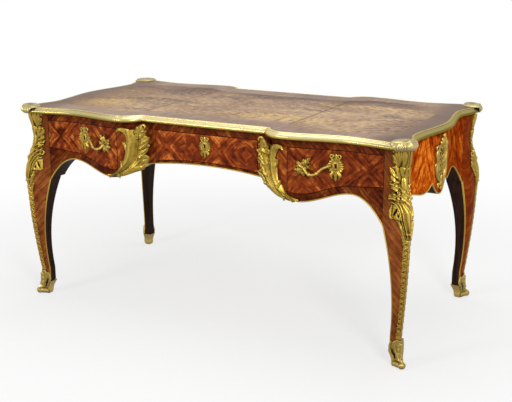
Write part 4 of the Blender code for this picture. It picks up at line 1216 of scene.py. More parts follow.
def make_ends():
    """End panels with a crossbanded lower edge."""
    end = stile_y - SEAT
    panel = board(-end, end, end_edge, level(carcass_top), flat_end, lambda u, z: (stile_x, u, z), APRON_BAND,
                  FRONT_PITCH)
    for name, side in SIDES.items():
        panel.make(name + "_end_veneer", "end ebony end_band", "veneer", [name + "_end_panel"], (side, 1))


def make_legs():
    """Cabriole legs: two veneered outer faces, and blackened inner ones."""
    rings = []
    for z in steps(foot_z, carcass_top, LEG_LEVELS):
        ax, ay, width, front, depth, end = leg_sizes(z)
        ring = [leg_face(width * t, z, 0.0) for t in steps(0.0, 1.0, LEG_FACETS)]
        ring.append((ax - width, ay - depth, z))
        ring += [leg_face(-depth * t, z, 0.0) for t in steps(1.0, 0.0, LEG_FACETS)[:-1]]
        rings.append(ring)
    shape = Shape()
    shape.tube(rings, marks=[FACE] * LEG_FACETS + [INNER, INNER] + [BAND] * LEG_FACETS)
    make_all(shape, CORNERS, "leg_veneer_", "leg ebony leg_end", "veneer", "leg_")


def make_drawer_fronts():
    """Shaped fronts, their softened rims painted dark as the shadow in the gaps round them, and their
    keyholes.
    """
    ceiling = level(rail_bottom - SLIDE)
    # the softened edges take the third look, ebony: painted shadow of the gap round each drawer
    side = board(SIDE_DRAWER_START + SLIDE, stile_x - SLIDE, lambda x: drawer_edge(x) + SLIDE, ceiling,
                 flat_front, to_plane_y(side_back), 0.0, FRONT_PITCH, DRAWER_EASE, BAND)
    centre = board(SLIDE - centre_half, centre_half - SLIDE, lambda x: centre_drawer_edge(x) + SLIDE, ceiling,
                   flat_front, to_plane_y(centre_back), 0.0, PITCH, DRAWER_EASE, BAND)
    half_x, half_z = KEYHOLE_HALF
    for name, x, back, z in lock_places():
        shape = centre if name == "centre" else side
        piece = shape.make(name + "_drawer_veneer", name + "_drawer oak_x ebony", "veneer",
                           [name + "_drawer_front"], (SIDES.get(name, 1), -1), name + "_drawer")
        cut(piece, [((x - half_x, -CARCASS_DEPTH, z - half_z), (x + half_x, -rail_back, z + half_z))])


# Top

FLAT_FACETS = 24
STEP_FACETS = 12
SWELL_FACETS = 30
FLARE_FACETS = 14
ROUND_FACETS = 12
END_FACETS = 36
CORNER_INDEX = FLAT_FACETS + STEP_FACETS + SWELL_FACETS + FLARE_FACETS + 1 + ROUND_FACETS // 2


def edge_quarter(off):
    """Quarter of the outline of the top, that far outside the frieze, from mid back to mid end."""
    radius = STEP_RADIUS + off
    sweep = acos((STEP_RADIUS * cos(STEP_SWEEP) + off) / radius)
    step_x = CREST_X - radius * sin(sweep)
    points = [(x, centre_depth + off) for x in steps(0.0, step_x, FLAT_FACETS)]
    for angle in steps(sweep, 0.0, STEP_FACETS)[1:]:
        points.append((CREST_X - radius * sin(angle), crest_depth + off - radius * (1.0 - cos(angle))))
    rest = [(x, front_depth(x, TOP_FLARE)) for x in steps(CREST_X, hollow_x, SWELL_FACETS)[1:]]
    rest += [(x, front_depth(x, TOP_FLARE)) for x in steps(hollow_x, stile_x, FLARE_FACETS)[1:]]
    head = Vector((tip_x, tip_y))
    start = head + (Vector(rest[-1]) - head).normalized() * CORNER_ROUND
    end = head + (Vector((end_depth(stile_y), stile_y)) - head).normalized() * CORNER_ROUND
    rest += [tuple(start.lerp(head, t).lerp(head.lerp(end, t), t)) for t in steps(0.0, 1.0, ROUND_FACETS)]
    rest += [(end_depth(y), y) for y in steps(stile_y, 0.0, END_FACETS)]
    ahead = rest[1:] + [(rest[-1][0], -rest[-2][1])]
    behind = [(CREST_X, crest_depth)] + rest[:-1]
    for (x, y), after, before in zip(rest, ahead, behind):
        run = Vector((after[0] - before[0], after[1] - before[1])).normalized()
        points.append((x - run.y * off, y + run.x * off))
    return points


def full_loop(quarter):
    """A closed loop from the quarter that runs from mid back to mid end."""
    half = quarter + [(x, -y) for x, y in reversed(quarter[:-1])]
    return half + [(-x, y) for x, y in reversed(half[1:-1])]


def leather_depth(x):
    """Half depth of the leather at x."""
    x = abs(x)
    swell = LEATHER_SWELL * between(x, LEATHER_STEP_X, LEATHER_SWELL_X)
    fall = LEATHER_CORNER * between(x, LEATHER_SWELL_X, LEATHER_LENGTH / 2)
    return LEATHER_CENTRE / 2 + swell - fall


def leather_point(u, v, grow=0.0):
    """Place on the leather, with u and v from -1 to 1 over its length and depth."""
    x = u * (LEATHER_LENGTH / 2 + grow + LEATHER_CROWN * (1.0 - smooth(abs(v))))
    return (x, v * (leather_depth(u * LEATHER_LENGTH / 2) + grow))


def leather_quarter(outer, grow):
    """Quarter of the leather's outline, matched point by point to an outer quarter."""
    lengths = [0.0]
    for (x0, y0), (x1, y1) in zip(outer, outer[1:]):
        lengths.append(lengths[-1] + hypot(x1 - x0, y1 - y0))
    turn = lengths[CORNER_INDEX]
    points = []
    for length in lengths:
        if length <= turn:
            points.append(leather_point(length / turn, 1.0, grow))
        else:
            points.append(leather_point(1.0, 1.0 - (length - turn) / (lengths[-1] - turn), grow))
    return points


def at_height(loop, z):
    return [(x, y, z) for x, y in loop]


# Section of the edge moulding: out from the frieze, then up from its underside
MOULDING_ROLL = 0.0078      # half height of the large roll
MOULDING_FOOT = 0.003       # how far inside the roll's middle the flat underside ends
MOULDING_TURN = radians(50)  # angle at which the roll ends
MOULDING_BEAD = 0.0030
BEAD_TURN = (radians(10), radians(115))
BEAD_RISE = 0.0006          # bead above the writing surface
BEAD_FALL = 0.0004          # fall from the bead to the border, and to the slope
MOULDING_SET = 0.0105       # bead behind the face of the roll
MOULDING_REEDS = 2          # fine reeds on the slope between them
MOULDING_REED = 0.0008


def moulding_section():
    """A large roll below, a reeded slope, and a small bead set back above it."""
    inner = OVERHANG - MOULDING_WIDTH
    floor = carcass_top + SEAT
    roll_x = OVERHANG - MOULDING_ROLL
    section = [(inner, floor), (roll_x - MOULDING_FOOT, floor)]
    for angle in steps(-pi / 2, MOULDING_TURN, 9):
        section.append((roll_x + MOULDING_ROLL * cos(angle), floor + MOULDING_ROLL * (1.0 + sin(angle))))
    bead_x = OVERHANG - MOULDING_SET - MOULDING_BEAD
    bead_z = HEIGHT - MOULDING_BEAD + BEAD_RISE
    foot = Vector(section[-1])
    head = Vector((bead_x + MOULDING_BEAD, bead_z - BEAD_FALL))
    out = Vector((foot.y - head.y, head.x - foot.x)).normalized() * -MOULDING_REED
    for t in steps(0.0, 1.0, 4 * MOULDING_REEDS)[1:]:
        section.append(tuple(foot.lerp(head, t) + out * abs(sin(pi * MOULDING_REEDS * t))))
    for angle in steps(*BEAD_TURN, 5):
        section.append((bead_x + MOULDING_BEAD * cos(angle), bead_z + MOULDING_BEAD * sin(angle)))
    section += [(bead_x - MOULDING_BEAD, HEIGHT - BEAD_FALL), (inner, HEIGHT)]
    return section


def make_top():
    """Panel with its border, and the edge moulding."""
    panel_edge = edge_quarter(OVERHANG - MOULDING_WIDTH - SEAT)
    outer = full_loop(panel_edge)
    inner = full_loop(leather_quarter(panel_edge, SEAT))
    recess = HEIGHT - LEATHER_THICKNESS - SEAT
    panel = Shape()
    panel.tube([at_height(outer, carcass_top + SEAT), at_height(outer, HEIGHT), at_height(inner, HEIGHT),
                at_height(inner, recess)])
    panel.make("top_border_veneer", "border", "veneer", ["top_panel"])

    sections = [at_height(full_loop(edge_quarter(off)), z) for off, z in moulding_section()]
    moulding = Shape()
    moulding.tube([list(ring) for ring in zip(*sections)], closed=True)
    moulding.make("edge_moulding_bronze", "moulding", "bronze", ["top_edge_moulding"])


LEATHER_COLUMNS = 150
LEATHER_ROWS = 56
SEAM_WIDTH = 0.004
SEAM_DEPTH = 0.0007


def make_leather():
    """Three skins glued down edge to edge, dipping at their seams."""
    top = []
    low = []
    for v in steps(-1.0, 1.0, LEATHER_ROWS):
        row = [leather_point(u, v) for u in steps(-1.0, 1.0, LEATHER_COLUMNS)]
        top.append([(x, y, HEIGHT - SEAM_DEPTH * bell(abs(x), SEAM_X, SEAM_WIDTH)) for x, y in row])
        low.append(at_height(row, HEIGHT - LEATHER_THICKNESS))
    shape = Shape()
    shape.slab(top, low)
    shape.make("leather_skins", "leather", "leather", ["leather_inset"])


CLASP_AROUND = 120
CLASP_RIBS = 30
CLASP_RISE = 0.0095         # crest above the writing surface
CLASP_FLOOR = 0.0012        # underside of a clasp above the carcass
CLASP_SINK = 0.0005         # and below the writing surface
CLASP_EDGE = CLASP_PROUD * 0.55     # wall of a clasp outside the moulding
CLASP_FADE = 0.25           # share of the radius over which a clasp begins to roll over the edge
CLASP_RIM = 0.0022          # depth of the ribs on its rim


def clasp_reach(angle, edge):
    """Plan radius of a clasp in a direction: its circle, or the outline of the top where that is nearer."""
    ahead = Vector((cos(angle), sin(angle)))
    reach = CLASP_RADIUS
    for (x0, y0), (x1, y1) in zip(edge, edge[1:]):
        a = Vector((x0 - tip_x, y0 - tip_y))
        b = Vector((x1 - x0, y1 - y0))
        scale = ahead.x * b.y - ahead.y * b.x
        if abs(scale) < 1e-9:
            continue
        distance = (a.x * b.y - a.y * b.x) / scale
        share = (a.x * ahead.y - a.y * ahead.x) / scale
        if 0.0 <= share <= 1.0 and 0.0 < distance < reach:
            reach = distance
    return reach


def clasp_crown(rib, outside):
    """Ribbed crown of a clasp, as (share of its reach, height) pairs."""
    crest = HEIGHT + CLASP_RISE
    return [(0.06, crest + 0.0005), (0.35, crest - 0.0005 - 0.0012 * rib), (0.62, crest - 0.0012),
            (0.80, crest - 0.0030 + 0.0016 * rib), (0.92, mix(HEIGHT + 0.003, crest - 0.005, outside))]


def clasp_rim(reach, rib, outside):
    """Rim and underside of a clasp, as (radius, height) pairs."""
    base = mix(HEIGHT - CLASP_SINK, carcass_top + CLASP_FLOOR, outside)
    middle = (base + (HEIGHT + CLASP_RISE) - 0.004) / 2
    rim = CLASP_RIM * rib * outside
    return [(reach + rim, mix(HEIGHT + 0.0012, middle + 0.008, outside)),
            (reach + outside * 0.0032 + rim * 1.4, mix(HEIGHT + 0.0008, middle, outside)),
            (reach + outside * 0.0018 + rim, mix(HEIGHT + 0.0004, middle - 0.007, outside)),
            (reach - outside * 0.0040, base), (reach * 0.45, base), (reach * 0.06, base)]


def make_clasps():
    """Ribbed shells that cap the corners of the top and roll over the moulding."""
    edge = edge_quarter(OVERHANG + CLASP_EDGE)
    columns = []
    for k in range(CLASP_AROUND):
        angle = tau * k / CLASP_AROUND
        reach = clasp_reach(angle, edge)
        outside = smooth((CLASP_RADIUS - reach) / (CLASP_FADE * CLASP_RADIUS))
        rib = abs(cos(angle * CLASP_RIBS / 2))
        column = [(tip_x + cos(angle) * reach * share, tip_y + sin(angle) * reach * share, z)
                  for share, z in clasp_crown(rib, outside)]
        column += [(tip_x + cos(angle) * radius, tip_y + sin(angle) * radius, z)
                   for radius, z in clasp_rim(reach, rib, outside)]
        columns.append(column)
    shape = Shape()
    shape.tube([list(ring) for ring in zip(*columns)])
    make_all(shape, CORNERS, "corner_clasp_bronze_", "clasp", "bronze", "corner_clasp_")


# Bronze mounts

FILLET_CROWN = 0.0016


def moved(points, u, z):
    """Points of a spine, moved to a place on a face."""
    return [(u + du, z + dz) for du, dz in points]


def upright(u, low, high):
    """Spine of four points straight up a face."""
    return [(u, z) for z in steps(low, high, 3)]


def make_fillets():
    """Gilt beads along the lower edges of the frieze and the inner edges of the legs' outer faces."""
    half = FILLET_WIDTH / 2

    def fillet(face, spines, count):
        shape = Shape()
        for spine in spines:
            blade(shape, face, spine, [half], FILLET_CROWN, count=count, across=4)
        return shape

    def below(edge, end):
        return lambda t: (mix(-end, end, t), edge(mix(-end, end, t)) + half)

    def front_side(t):
        z = mix(FILLET_FOOT, knee_z, t)
        return (leg_sizes(z)[2] - half, z)

    def end_side(t):
        z = mix(FILLET_FOOT, knee_z, t)
        return (half - leg_sizes(z)[4], z)

    front = fillet(flat_front, [below(front_edge, stile_x)], 320)
    end = fillet(flat_end, [below(end_edge, stile_y)], 220)
    leg = fillet(leg_face, [front_side, end_side], 60)
    for name, facing in FACINGS.items():
        front.make("gilt_fillet_" + name, "bronze", "bronze", (), (1, facing))
    for name, side in SIDES.items():
        end.make("gilt_fillet_%s_end" % name, "bronze", "bronze", (), (side, 1))
    make_all(leg, CORNERS, "gilt_fillet_leg_", "bronze", "bronze")


# Acanthus: edges of its sheet towards the kneehole and towards the side drawer, as (height, reach) pairs
LEAF_INNER = ((0.584, 0.255), (0.594, 0.253), (0.606, 0.242), (0.623, 0.226), (0.631, 0.244), (0.655, 0.232),
              (0.667, 0.223), (0.673, 0.234), (0.683, 0.226), (0.6975, 0.223), (0.7035, 0.2365),
              (0.722, 0.238))
LEAF_OUTER = ((0.536, 0.396), (0.545, 0.388), (0.552, 0.372), (0.562, 0.354), (0.570, 0.347), (0.586, 0.338),
              (0.596, 0.331), (0.6035, 0.332), (0.607, 0.320), (0.626, 0.316), (0.648, 0.314), (0.668, 0.311),
              (0.6765, 0.321), (0.680, 0.306), (0.697, 0.310), (0.712, 0.318), (0.722, 0.322))
TIP_INNER = ((0.690, 0.226), (0.6975, 0.223), (0.7035, 0.2365), (0.711, 0.2365), (0.718, 0.229),
             (0.7215, 0.238), (0.731, 0.240), (0.7415, 0.250))
TIP_OUTER = ((0.690, 0.279), (0.700, 0.281), (0.7075, 0.275), (0.716, 0.278), (0.7205, 0.272), (0.732, 0.268),
             (0.7415, 0.254))
LEAF_FOOT = 0.5375
LEAF_TOP = 0.722
TIP_FOOT = 0.690
TIP_TOP = 0.7415
LEAF_STAND = 0.020          # how far the leaf stands off the frieze beside the kneehole
LEAF_PROUD = 0.002          # and off the swell
LEAF_STEP = (0.235, 0.330)  # between which it crosses over to the swell
LEAF_PITCH = 0.0015
LEAF_BLUR = 0.022
LEAF_GROWTH = 0.12          # height over which the ridges grow from the foot
LEAF_CROWN = 0.004
# height, middle and width across the leaf of its inner leaf, outer ridge and channel
LEAF_RIDGES = ((0.010, 0.24, 0.17), (0.010, 0.77, 0.13), (0.006, 0.50, 0.09))
LEAF_LINES = 6              # flow lines across the leaf
LEAF_FLOW = 0.0022          # and their depth
FLOW_MEAN = 0.6
FLOW_HEAD = (0.735, 0.03)   # where they end, and over which height
LEAF_GRAIN = (0.0007, 0.72, 0.16)
GRAIN_PITCH = 0.0055
TIP_CROWN = 0.008
TIP_LEAN = (0.003, 0.011)   # how far the tip leans out at its foot and head
TIP_RISE = 0.05             # height over which it leans
TIP_FLUTE = 0.0010          # depth and number of its flutes
TIP_FLUTES = 3.0

# Blades of the acanthus: run of the foot that joins it to the lower edge of the frieze, curl of the inner
# leaf's tip, outer leaf with its hook, teeth of the kneehole edge, and small leaves along the outer edge
LEAF_FOOT_RUN = (0.243, 0.394)
LEAF_FOOT_RISE = 0.008
LEAF_FOOT_BLADE = dict(widths=(0.008, 0.010, 0.010, 0.008, 0.004), crown=0.004, count=44, body=1.0)
CURL = dict(spine=((0.250, 0.738), (0.242, 0.742), (0.235, 0.738), (0.235, 0.732)),
            widths=(0.005, 0.004, 0.0035, 0.0025), crown=0.003, lift=(0.011, 0.013, 0.014), count=20,
            across=6)
HOOK = dict(spine=((0.291, 0.672), (0.293, 0.696), (0.302, 0.713), (0.316, 0.722), (0.332, 0.723),
                   (0.341, 0.714)),
            widths=(0.010, 0.014, 0.012, 0.008, 0.0055, 0.003), crown=0.005,
            lift=(0.002, 0.004, 0.006, 0.008, 0.010, 0.010), hollow=0.2, flutes=3, count=64, across=16)
LEAFLET_HEIGHTS = steps(0.622, 0.716, 5)
LEAFLET_PROUD = 0.002       # how far a tooth's tip stands out of the edge
LEAFLET_SPINE = ((0.034, -0.030), (0.018, -0.017), (0.0, 0.0))
LEAFLET = dict(widths=(0.003, 0.0075, 0.0015), crown=0.0030, lift=(0.0, 0.001, 0.002), vein=0.5, count=24,
               body=0.003)
OUTER_LEAF_TIPS = ((0.353, 0.566), (0.333, 0.604), (0.321, 0.677))
OUTER_LEAF_SPINE = ((-0.012, -0.030), (-0.008, -0.012), (0.0, 0.0))
OUTER_LEAF = dict(LEAFLET, widths=(0.003, 0.006, 0.0015), count=20)


def leaf_depth(u):
    """Depth in plan of the acanthus: it bridges the step, clear of the frieze on the kneehole side."""
    start, end = LEAF_STEP
    bridge = mix(centre_depth + LEAF_STAND, crest_depth + LEAF_PROUD, between(u, start, end))
    return max(bridge, front_depth(u))


def leaf_face(u, z, off):
    return (u, leaf_depth(u) + off, z)


def leaf_inner(z):
    """Kneehole edge of the leaf, which follows the lower edge of the frieze at its foot."""
    edge = carcass_top - CENTRE_EDGE_DROP
    if z >= LEAF_INNER[0][0]:
        return table(LEAF_INNER, z)
    fall = min((edge - z) / (LOBE_DROP - CENTRE_EDGE_DROP), 1.0)
    return CENTRE_EDGE_X + (LOBE_X - CENTRE_EDGE_X) * asin(fall) * 2 / pi


def leaf_outer(z):
    return table(LEAF_OUTER, z)


def softened(edge, z):
    """An edge without its spikes."""
    return sum(edge(z + shift) for shift in steps(-LEAF_BLUR, LEAF_BLUR, 8)) / 9.0


def crowned(s):
    """Round section of a sheet, at a share of the way across it."""
    return sqrt(max(1.0 - (2.0 * s - 1.0) ** 2, 0.0))


def leaf_height(s, u, z):
    """Relief of the acanthus: upright inner leaf, channel, grained ridge, and lines that flow upwards."""
    first = softened(leaf_inner, z)
    last = softened(leaf_outer, z)
    t = (u - first) / (last - first)
    grow = rising(z, LEAF_FOOT, LEAF_GROWTH)
    inner, ridge, channel = (height * bell(t, middle, width) for height, middle, width in LEAF_RIDGES)
    depth, middle, width = LEAF_GRAIN
    grain = depth * cos(tau * z / GRAIN_PITCH) * cos(tau * u / GRAIN_PITCH) * bell(t, middle, width)
    flow = LEAF_FLOW * (abs(sin(pi * LEAF_LINES * t)) - FLOW_MEAN) * falling(z, *FLOW_HEAD)
    return CAST_EDGE + LEAF_CROWN * crowned(s) + inner * grow + ridge - channel * grow + grain + flow


def leaf_top(u, z, off):
    """Front of the acanthus, for what lies on it."""
    first = leaf_inner(z)
    share = min(max((u - first) / (leaf_outer(z) - first), 0.0), 1.0)
    return leaf_face(u, z, leaf_height(share, u, z) + off)


def tip_height(s, u, z):
    """Relief of the inner leaf's tip, which leans out as it rises."""
    lean = mix(*TIP_LEAN, rising(z, TIP_FOOT, TIP_RISE))
    return CAST_EDGE + TIP_CROWN * crowned(s) + lean + TIP_FLUTE * cos(tau * TIP_FLUTES * s)


def make_acanthus():
    """Acanthus leaf over the step beside the kneehole, with a hooked outer leaf and an upright inner bud."""
    leaf = Shape()
    relief(leaf, leaf_face, spaced(LEAF_FOOT, LEAF_TOP, LEAF_PITCH), leaf_inner, leaf_outer, leaf_height,
           across=40, body=CAST_BODY)
    start, end = LEAF_FOOT_RUN
    stand = [leaf_depth(x) - front_depth(x) for x in steps(start, end, 12)]
    blade(leaf, front_face, lambda t: (mix(start, end, t), front_edge(mix(start, end, t)) + LEAF_FOOT_RISE),
          lift=stand, **LEAF_FOOT_BLADE)
    relief(leaf, leaf_face, spaced(TIP_FOOT, TIP_TOP, LEAF_PITCH), lambda z: table(TIP_INNER, z),
           lambda z: table(TIP_OUTER, z), tip_height, across=18, body=CAST_BODY)
    blade(leaf, leaf_face, **CURL)
    blade(leaf, leaf_face, **HOOK)
    for z in LEAFLET_HEIGHTS:
        blade(leaf, leaf_top, moved(LEAFLET_SPINE, leaf_inner(z) - LEAFLET_PROUD, z), **LEAFLET)
    for tip in OUTER_LEAF_TIPS:
        blade(leaf, leaf_top, moved(OUTER_LEAF_SPINE, *tip), **OUTER_LEAF)
    for face, facing in FACINGS.items():
        for name, side in SIDES.items():
            leaf.make("acanthus_bronze_%s_%s" % (face, name), "bronze", "bronze",
                      ["acanthus_%s_%s" % (face, name)], (side, facing))


# Corner mounts: reach along the front face, along the end face, and how far the arris stands out, as
# (height, value) pairs
CHUTE_FRONT = ((0.100, 0.0145), (0.164, 0.0138), (0.254, 0.0150), (0.330, 0.0165), (0.410, 0.0180),
               (0.434, 0.0172), (0.450, 0.0190), (0.465, 0.0270), (0.470, 0.0230), (0.487, 0.0276),
               (0.499, 0.0344), (0.504, 0.0300), (0.512, 0.0360), (0.519, 0.0390), (0.5215, 0.0600),
               (0.5242, 0.0674), (0.537, 0.0638), (0.545, 0.0590), (0.561, 0.0580), (0.5715, 0.0560),
               (0.590, 0.0480), (0.607, 0.0467), (0.615, 0.0494), (0.631, 0.0490), (0.646, 0.0461),
               (0.659, 0.0485), (0.671, 0.0452), (0.680, 0.0470), (0.686, 0.0533), (0.691, 0.0380),
               (0.707, 0.0365), (0.726, 0.0474), (0.739, 0.0500), (0.746, 0.0480))
CHUTE_END = ((0.100, 0.008), (0.420, 0.008), (0.470, 0.012), (0.505, 0.024), (0.525, 0.036), (0.545, 0.038),
             (0.575, 0.032), (0.592, 0.022), (0.610, 0.014), (0.660, 0.012), (0.690, 0.012), (0.720, 0.013),
             (0.746, 0.013))
CHUTE_LIFT = ((0.100, 0.0035), (0.415, 0.0035), (0.445, 0.0045), (0.480, 0.007), (0.515, 0.011),
              (0.550, 0.014), (0.575, 0.014), (0.590, 0.012), (0.605, 0.009), (0.620, 0.007), (0.640, 0.006),
              (0.665, 0.006), (0.700, 0.006), (0.730, 0.009), (0.746, 0.010))
CHUTE_FOOT = 0.100
CHUTE_TOP = 0.746
CHUTE_PITCH = 0.0018
CHUTE_COLUMNS = (26, 52)    # across the end face and across the front face
NOTCH_PITCH = 0.0125
NOTCHES = ((0.07, 1.0), (0.06, 2.7))    # depth and number of pitches of each wave of the edge
NOTCH_FADE = 0.5            # share of the notches that is left above the knee's foot
NOTCH_KNEE = (0.42, 0.06)
ARRIS_FALL = 0.011          # over which the sheet falls away from the arris on the end face
END_RELIEF = 0.6
SLOTS = (((0.0385, 0.5529), (0.0530, 0.5328), 0.0034), ((0.0337, 0.5365), (0.0337, 0.5320), 0.0030))
SLOT_DEPTH = 0.92           # share of the relief that a slot takes away
VOLUTE = (0.049, 0.533)
VOLUTE_HALF = (0.036, 0.056)    # half sizes of the band at a radius of 1
VOLUTE_FOOT = (0.021, 0.017, 0.075)     # place and width of the bands at the foot, and how far down that is
VOLUTE_PITCH = 0.27
BANDS_START = (0.45, 0.2)   # radii between which the bands lie, and the height of their foot
BANDS_END = (2.10, 0.25)
BANDS_FOOT = (0.452, 0.02)
FLUTE_HEIGHT = 0.0030       # of the bands on the front face, and on the end face
END_FLUTE_HEIGHT = 0.0020
HUSK_PITCH = 0.0235
HUSK_SLOPE = 0.8
HUSK_MIDDLE = 0.007
STRIP_HEAD = (0.462, 0.02)
HUSK_HEIGHT = 0.0010
END_HUSK_HEIGHT = 0.0008
VALLEY = (0.30, 0.0185, 0.005)  # beside the cabochon: share of the relief, middle and width
VALLEY_FOOT = (0.606, 0.02)
VALLEY_HEAD = (0.690, 0.02)
HEAD_FLUTE = 0.0010         # depth, number and foot of the flutes above the knee
HEAD_FLUTES = 3.5
HEAD_FOOT = (0.600, 0.02)

# Blades and bosses of the corner mounts, as (reach, height) on the front face
HEAD_LOBE = dict(spine=upright(0.0085, 0.690, 0.746), widths=(0.002, 0.0050, 0.0055, 0.004), crown=0.0080,
                 lift=(0.0, 0.001, 0.003), across=10)
CABOCHON = (0.0080, 0.6340, 0.0068, 0.0270, 0.0065)
END_BEAD_HEIGHTS = steps(0.604, 0.684, 8)
END_BEAD_REACH = 0.0060
END_BEAD = (0.0050, 0.0034, 0.0032)
TUFT_ROOT = Vector((0.026, 0.692))
TUFT_BEND = Vector((-0.002, 0.003))
TUFT_TIPS = ((0.047, 0.712), (0.051, 0.732), (0.042, 0.747), (0.028, 0.748), (0.018, 0.746))
TUFT = dict(widths=(0.005, 0.0095, 0.0050), crown=0.0060, lift=(0.0005, 0.002, 0.003), teeth=1, bite=0.3,
            vein=0.25, across=10)
FOLIAGE_SPINES = (
    ((0.024, 0.620), (0.040, 0.626), (0.051, 0.642)),
    ((0.020, 0.640), (0.036, 0.644), (0.050, 0.662)),
    ((0.018, 0.655), (0.038, 0.664), (0.055, 0.689)),
    ((0.020, 0.650), (0.026, 0.672), (0.036, 0.697)),
    ((0.010, 0.664), (0.014, 0.680), (0.011, 0.696)),
)
FOLIAGE = dict(widths=(0.006, 0.0100, 0.0030), crown=0.0055, lift=(0.001, 0.003, 0.003), teeth=2, bite=0.25,
               vein=0.25, count=36, across=12)
BUD = (0.0325, 0.6230, 0.0095, 0.0170, 0.0070, radians(12))
BUD_LEAVES = (0.009, 0.024, 0.039)
BUD_LEAF_SPINE = ((0.003, 0.583), (0.001, 0.597), (0.003, 0.612))
BUD_LEAF = dict(widths=(0.005, 0.0075, 0.002), crown=0.004, lift=(0.001, 0.002), vein=0.4, count=22)
CURLED_TIP = dict(spine=spiral((0.0510, 0.5906), 0.0092, 0.0032, radians(200), -1.25),
                  widths=(0.0050, 0.0044, 0.0032), crown=0.004, lift=(0.002, 0.005, 0.008), count=36,
                  across=7)
# dark blades in the volute's openings: painted shadow
SLOT_SHADOW = dict(crown=0.0004, lift=(0.0006,), count=14, across=4, mark=INNER)
SLOT_SHADOW_WIDTHS = (0.3, 0.8, 0.3)
VOLUTE_BACK = dict(spine=((0.053, 0.570), (0.058, 0.556), (0.062, 0.540), (0.062, 0.5275), (0.053, 0.5250)),
                   widths=(0.003, 0.0040, 0.0055, 0.0055, 0.002), crown=0.004, lift=(0.001, 0.002, 0.002),
                   teeth=4, bite=0.35, sides=(0, 1), count=56)
KNEE_LEAF = dict(spine=((0.034, 0.520), (0.028, 0.502), (0.019, 0.480), (0.013, 0.456)),
                 widths=(0.005, 0.007, 0.006, 0.002), crown=0.004, lift=(0.001,), teeth=5, bite=0.35,
                 sides=(0, 1), vein=0.3, count=44)
FOOT_BAND = dict(spine=((0.0, 0.478), (0.012, 0.481), (0.022, 0.478)), widths=(0.004, 0.005, 0.003),
                 crown=0.003, lift=(0.001,), count=20)
STRIP_BEAD = dict(spine=upright(0.0012, 0.125, 0.458), widths=(0.0017,), crown=0.0018, count=90, across=4)
HUSK_HEIGHTS = steps(0.130, 0.452, 17)
HUSK_SPINES = (((0.0040, 0.0), (0.0085, -0.003), (0.0150, -0.0125)),
               ((0.0040, 0.0), (0.0070, 0.004), (0.0125, 0.0075)))
HUSK = dict(widths=(0.0020, 0.0030, 0.0010), crown=0.0022, lift=(0.0002, 0.0008), count=12, across=5)


def chute_ratio(z):
    """Share of the front face's pattern that the end face has room for."""
    return table(CHUTE_END, z) / table(CHUTE_FRONT, z)


def chute_edge(z):
    """Notched edge of a corner mount along the front face."""
    wave = sum(depth * sin(tau * z / (pitch * NOTCH_PITCH)) for depth, pitch in NOTCHES)
    return table(CHUTE_FRONT, z) * (1.0 + wave * mix(1.0, NOTCH_FADE, rising(z, *NOTCH_KNEE)))


def near_slot(u, z):
    """How near a spot is to the openings of the volute: 1 inside, and 0 away from them."""
    deepest = 0.0
    for (u0, z0), (u1, z1), width in SLOTS:
        run = Vector((u1 - u0, z1 - z0))
        share = min(max(Vector((u - u0, z - z0)).dot(run) / run.length_squared, 0.0), 1.0)
        deepest = max(deepest, bell(hypot(u - u0 - run.x * share, z - z0 - run.y * share), 0.0, width))
    return deepest


def scroll_flutes(u, z):
    """Bands that rise over the pierced volute and sweep down beside it to the foot of the knee."""
    middle_u, middle_z = VOLUTE
    half_u, half_z = VOLUTE_HALF
    foot_u, foot_half, drop = VOLUTE_FOOT
    if z >= middle_z:
        radius = hypot((u - middle_u) / half_u, (z - middle_z) / half_z)
    else:
        sweep = smooth((middle_z - z) / drop)
        radius = (mix(middle_u, foot_u, sweep) - u) / mix(half_u, foot_half, sweep)
    inside = rising(radius, *BANDS_START) * falling(radius, *BANDS_END) * rising(z, *BANDS_FOOT)
    return inside * cos(tau * (radius - 1.0) / VOLUTE_PITCH)


def strip_veins(u, z):
    """Husks down the strip below the knee, one out of the other."""
    husk = (z + HUSK_SLOPE * abs(u - HUSK_MIDDLE)) / HUSK_PITCH
    return (1.0 - 2.0 * (husk % 1.0) ** 2) * falling(z, *STRIP_HEAD)


def chute_height(u, z):
    """Relief of a corner mount's sheet, u being the place on the front face's pattern."""
    share = min(abs(u) / table(CHUTE_FRONT, z), 1.0)
    height = CAST_EDGE + (table(CHUTE_LIFT, z) - CAST_EDGE) * cos(pi / 2 * share)
    depth, middle, width = VALLEY
    valley = depth * bell(u, middle, width) * rising(z, *VALLEY_FOOT) * falling(z, *VALLEY_HEAD)
    flutes = HEAD_FLUTE * cos(tau * HEAD_FLUTES * share) * rising(z, *HEAD_FOOT) * (1.0 - share)
    flutes += FLUTE_HEIGHT * scroll_flutes(u, z) + HUSK_HEIGHT * strip_veins(u, z)
    return height * (1.0 - valley) * (1.0 - SLOT_DEPTH * near_slot(u, z)) + flutes


def chute_end_height(u, z):
    """Relief of the same sheet on the end face, which falls away quickly from the arris."""
    fall = max(1.0 - u * chute_ratio(z) / ARRIS_FALL, 0.0) ** 2
    flutes = END_FLUTE_HEIGHT * (1.0 + scroll_flutes(u, z))
    sheet = CAST_EDGE + (table(CHUTE_LIFT, z) - CAST_EDGE) * fall + flutes
    return sheet * (1.0 - SLOT_DEPTH * near_slot(u, z)) + END_HUSK_HEIGHT * strip_veins(u, z)


def chute_face(u, z, off):
    return leg_face(u, z, chute_height(u, z) + off)


def chute_end_face(u, z, off):
    """The end face of a leg, worked as its front face is but in lower relief."""
    return leg_face(-u * chute_ratio(z), z, chute_end_height(u, z) + off * END_RELIEF)


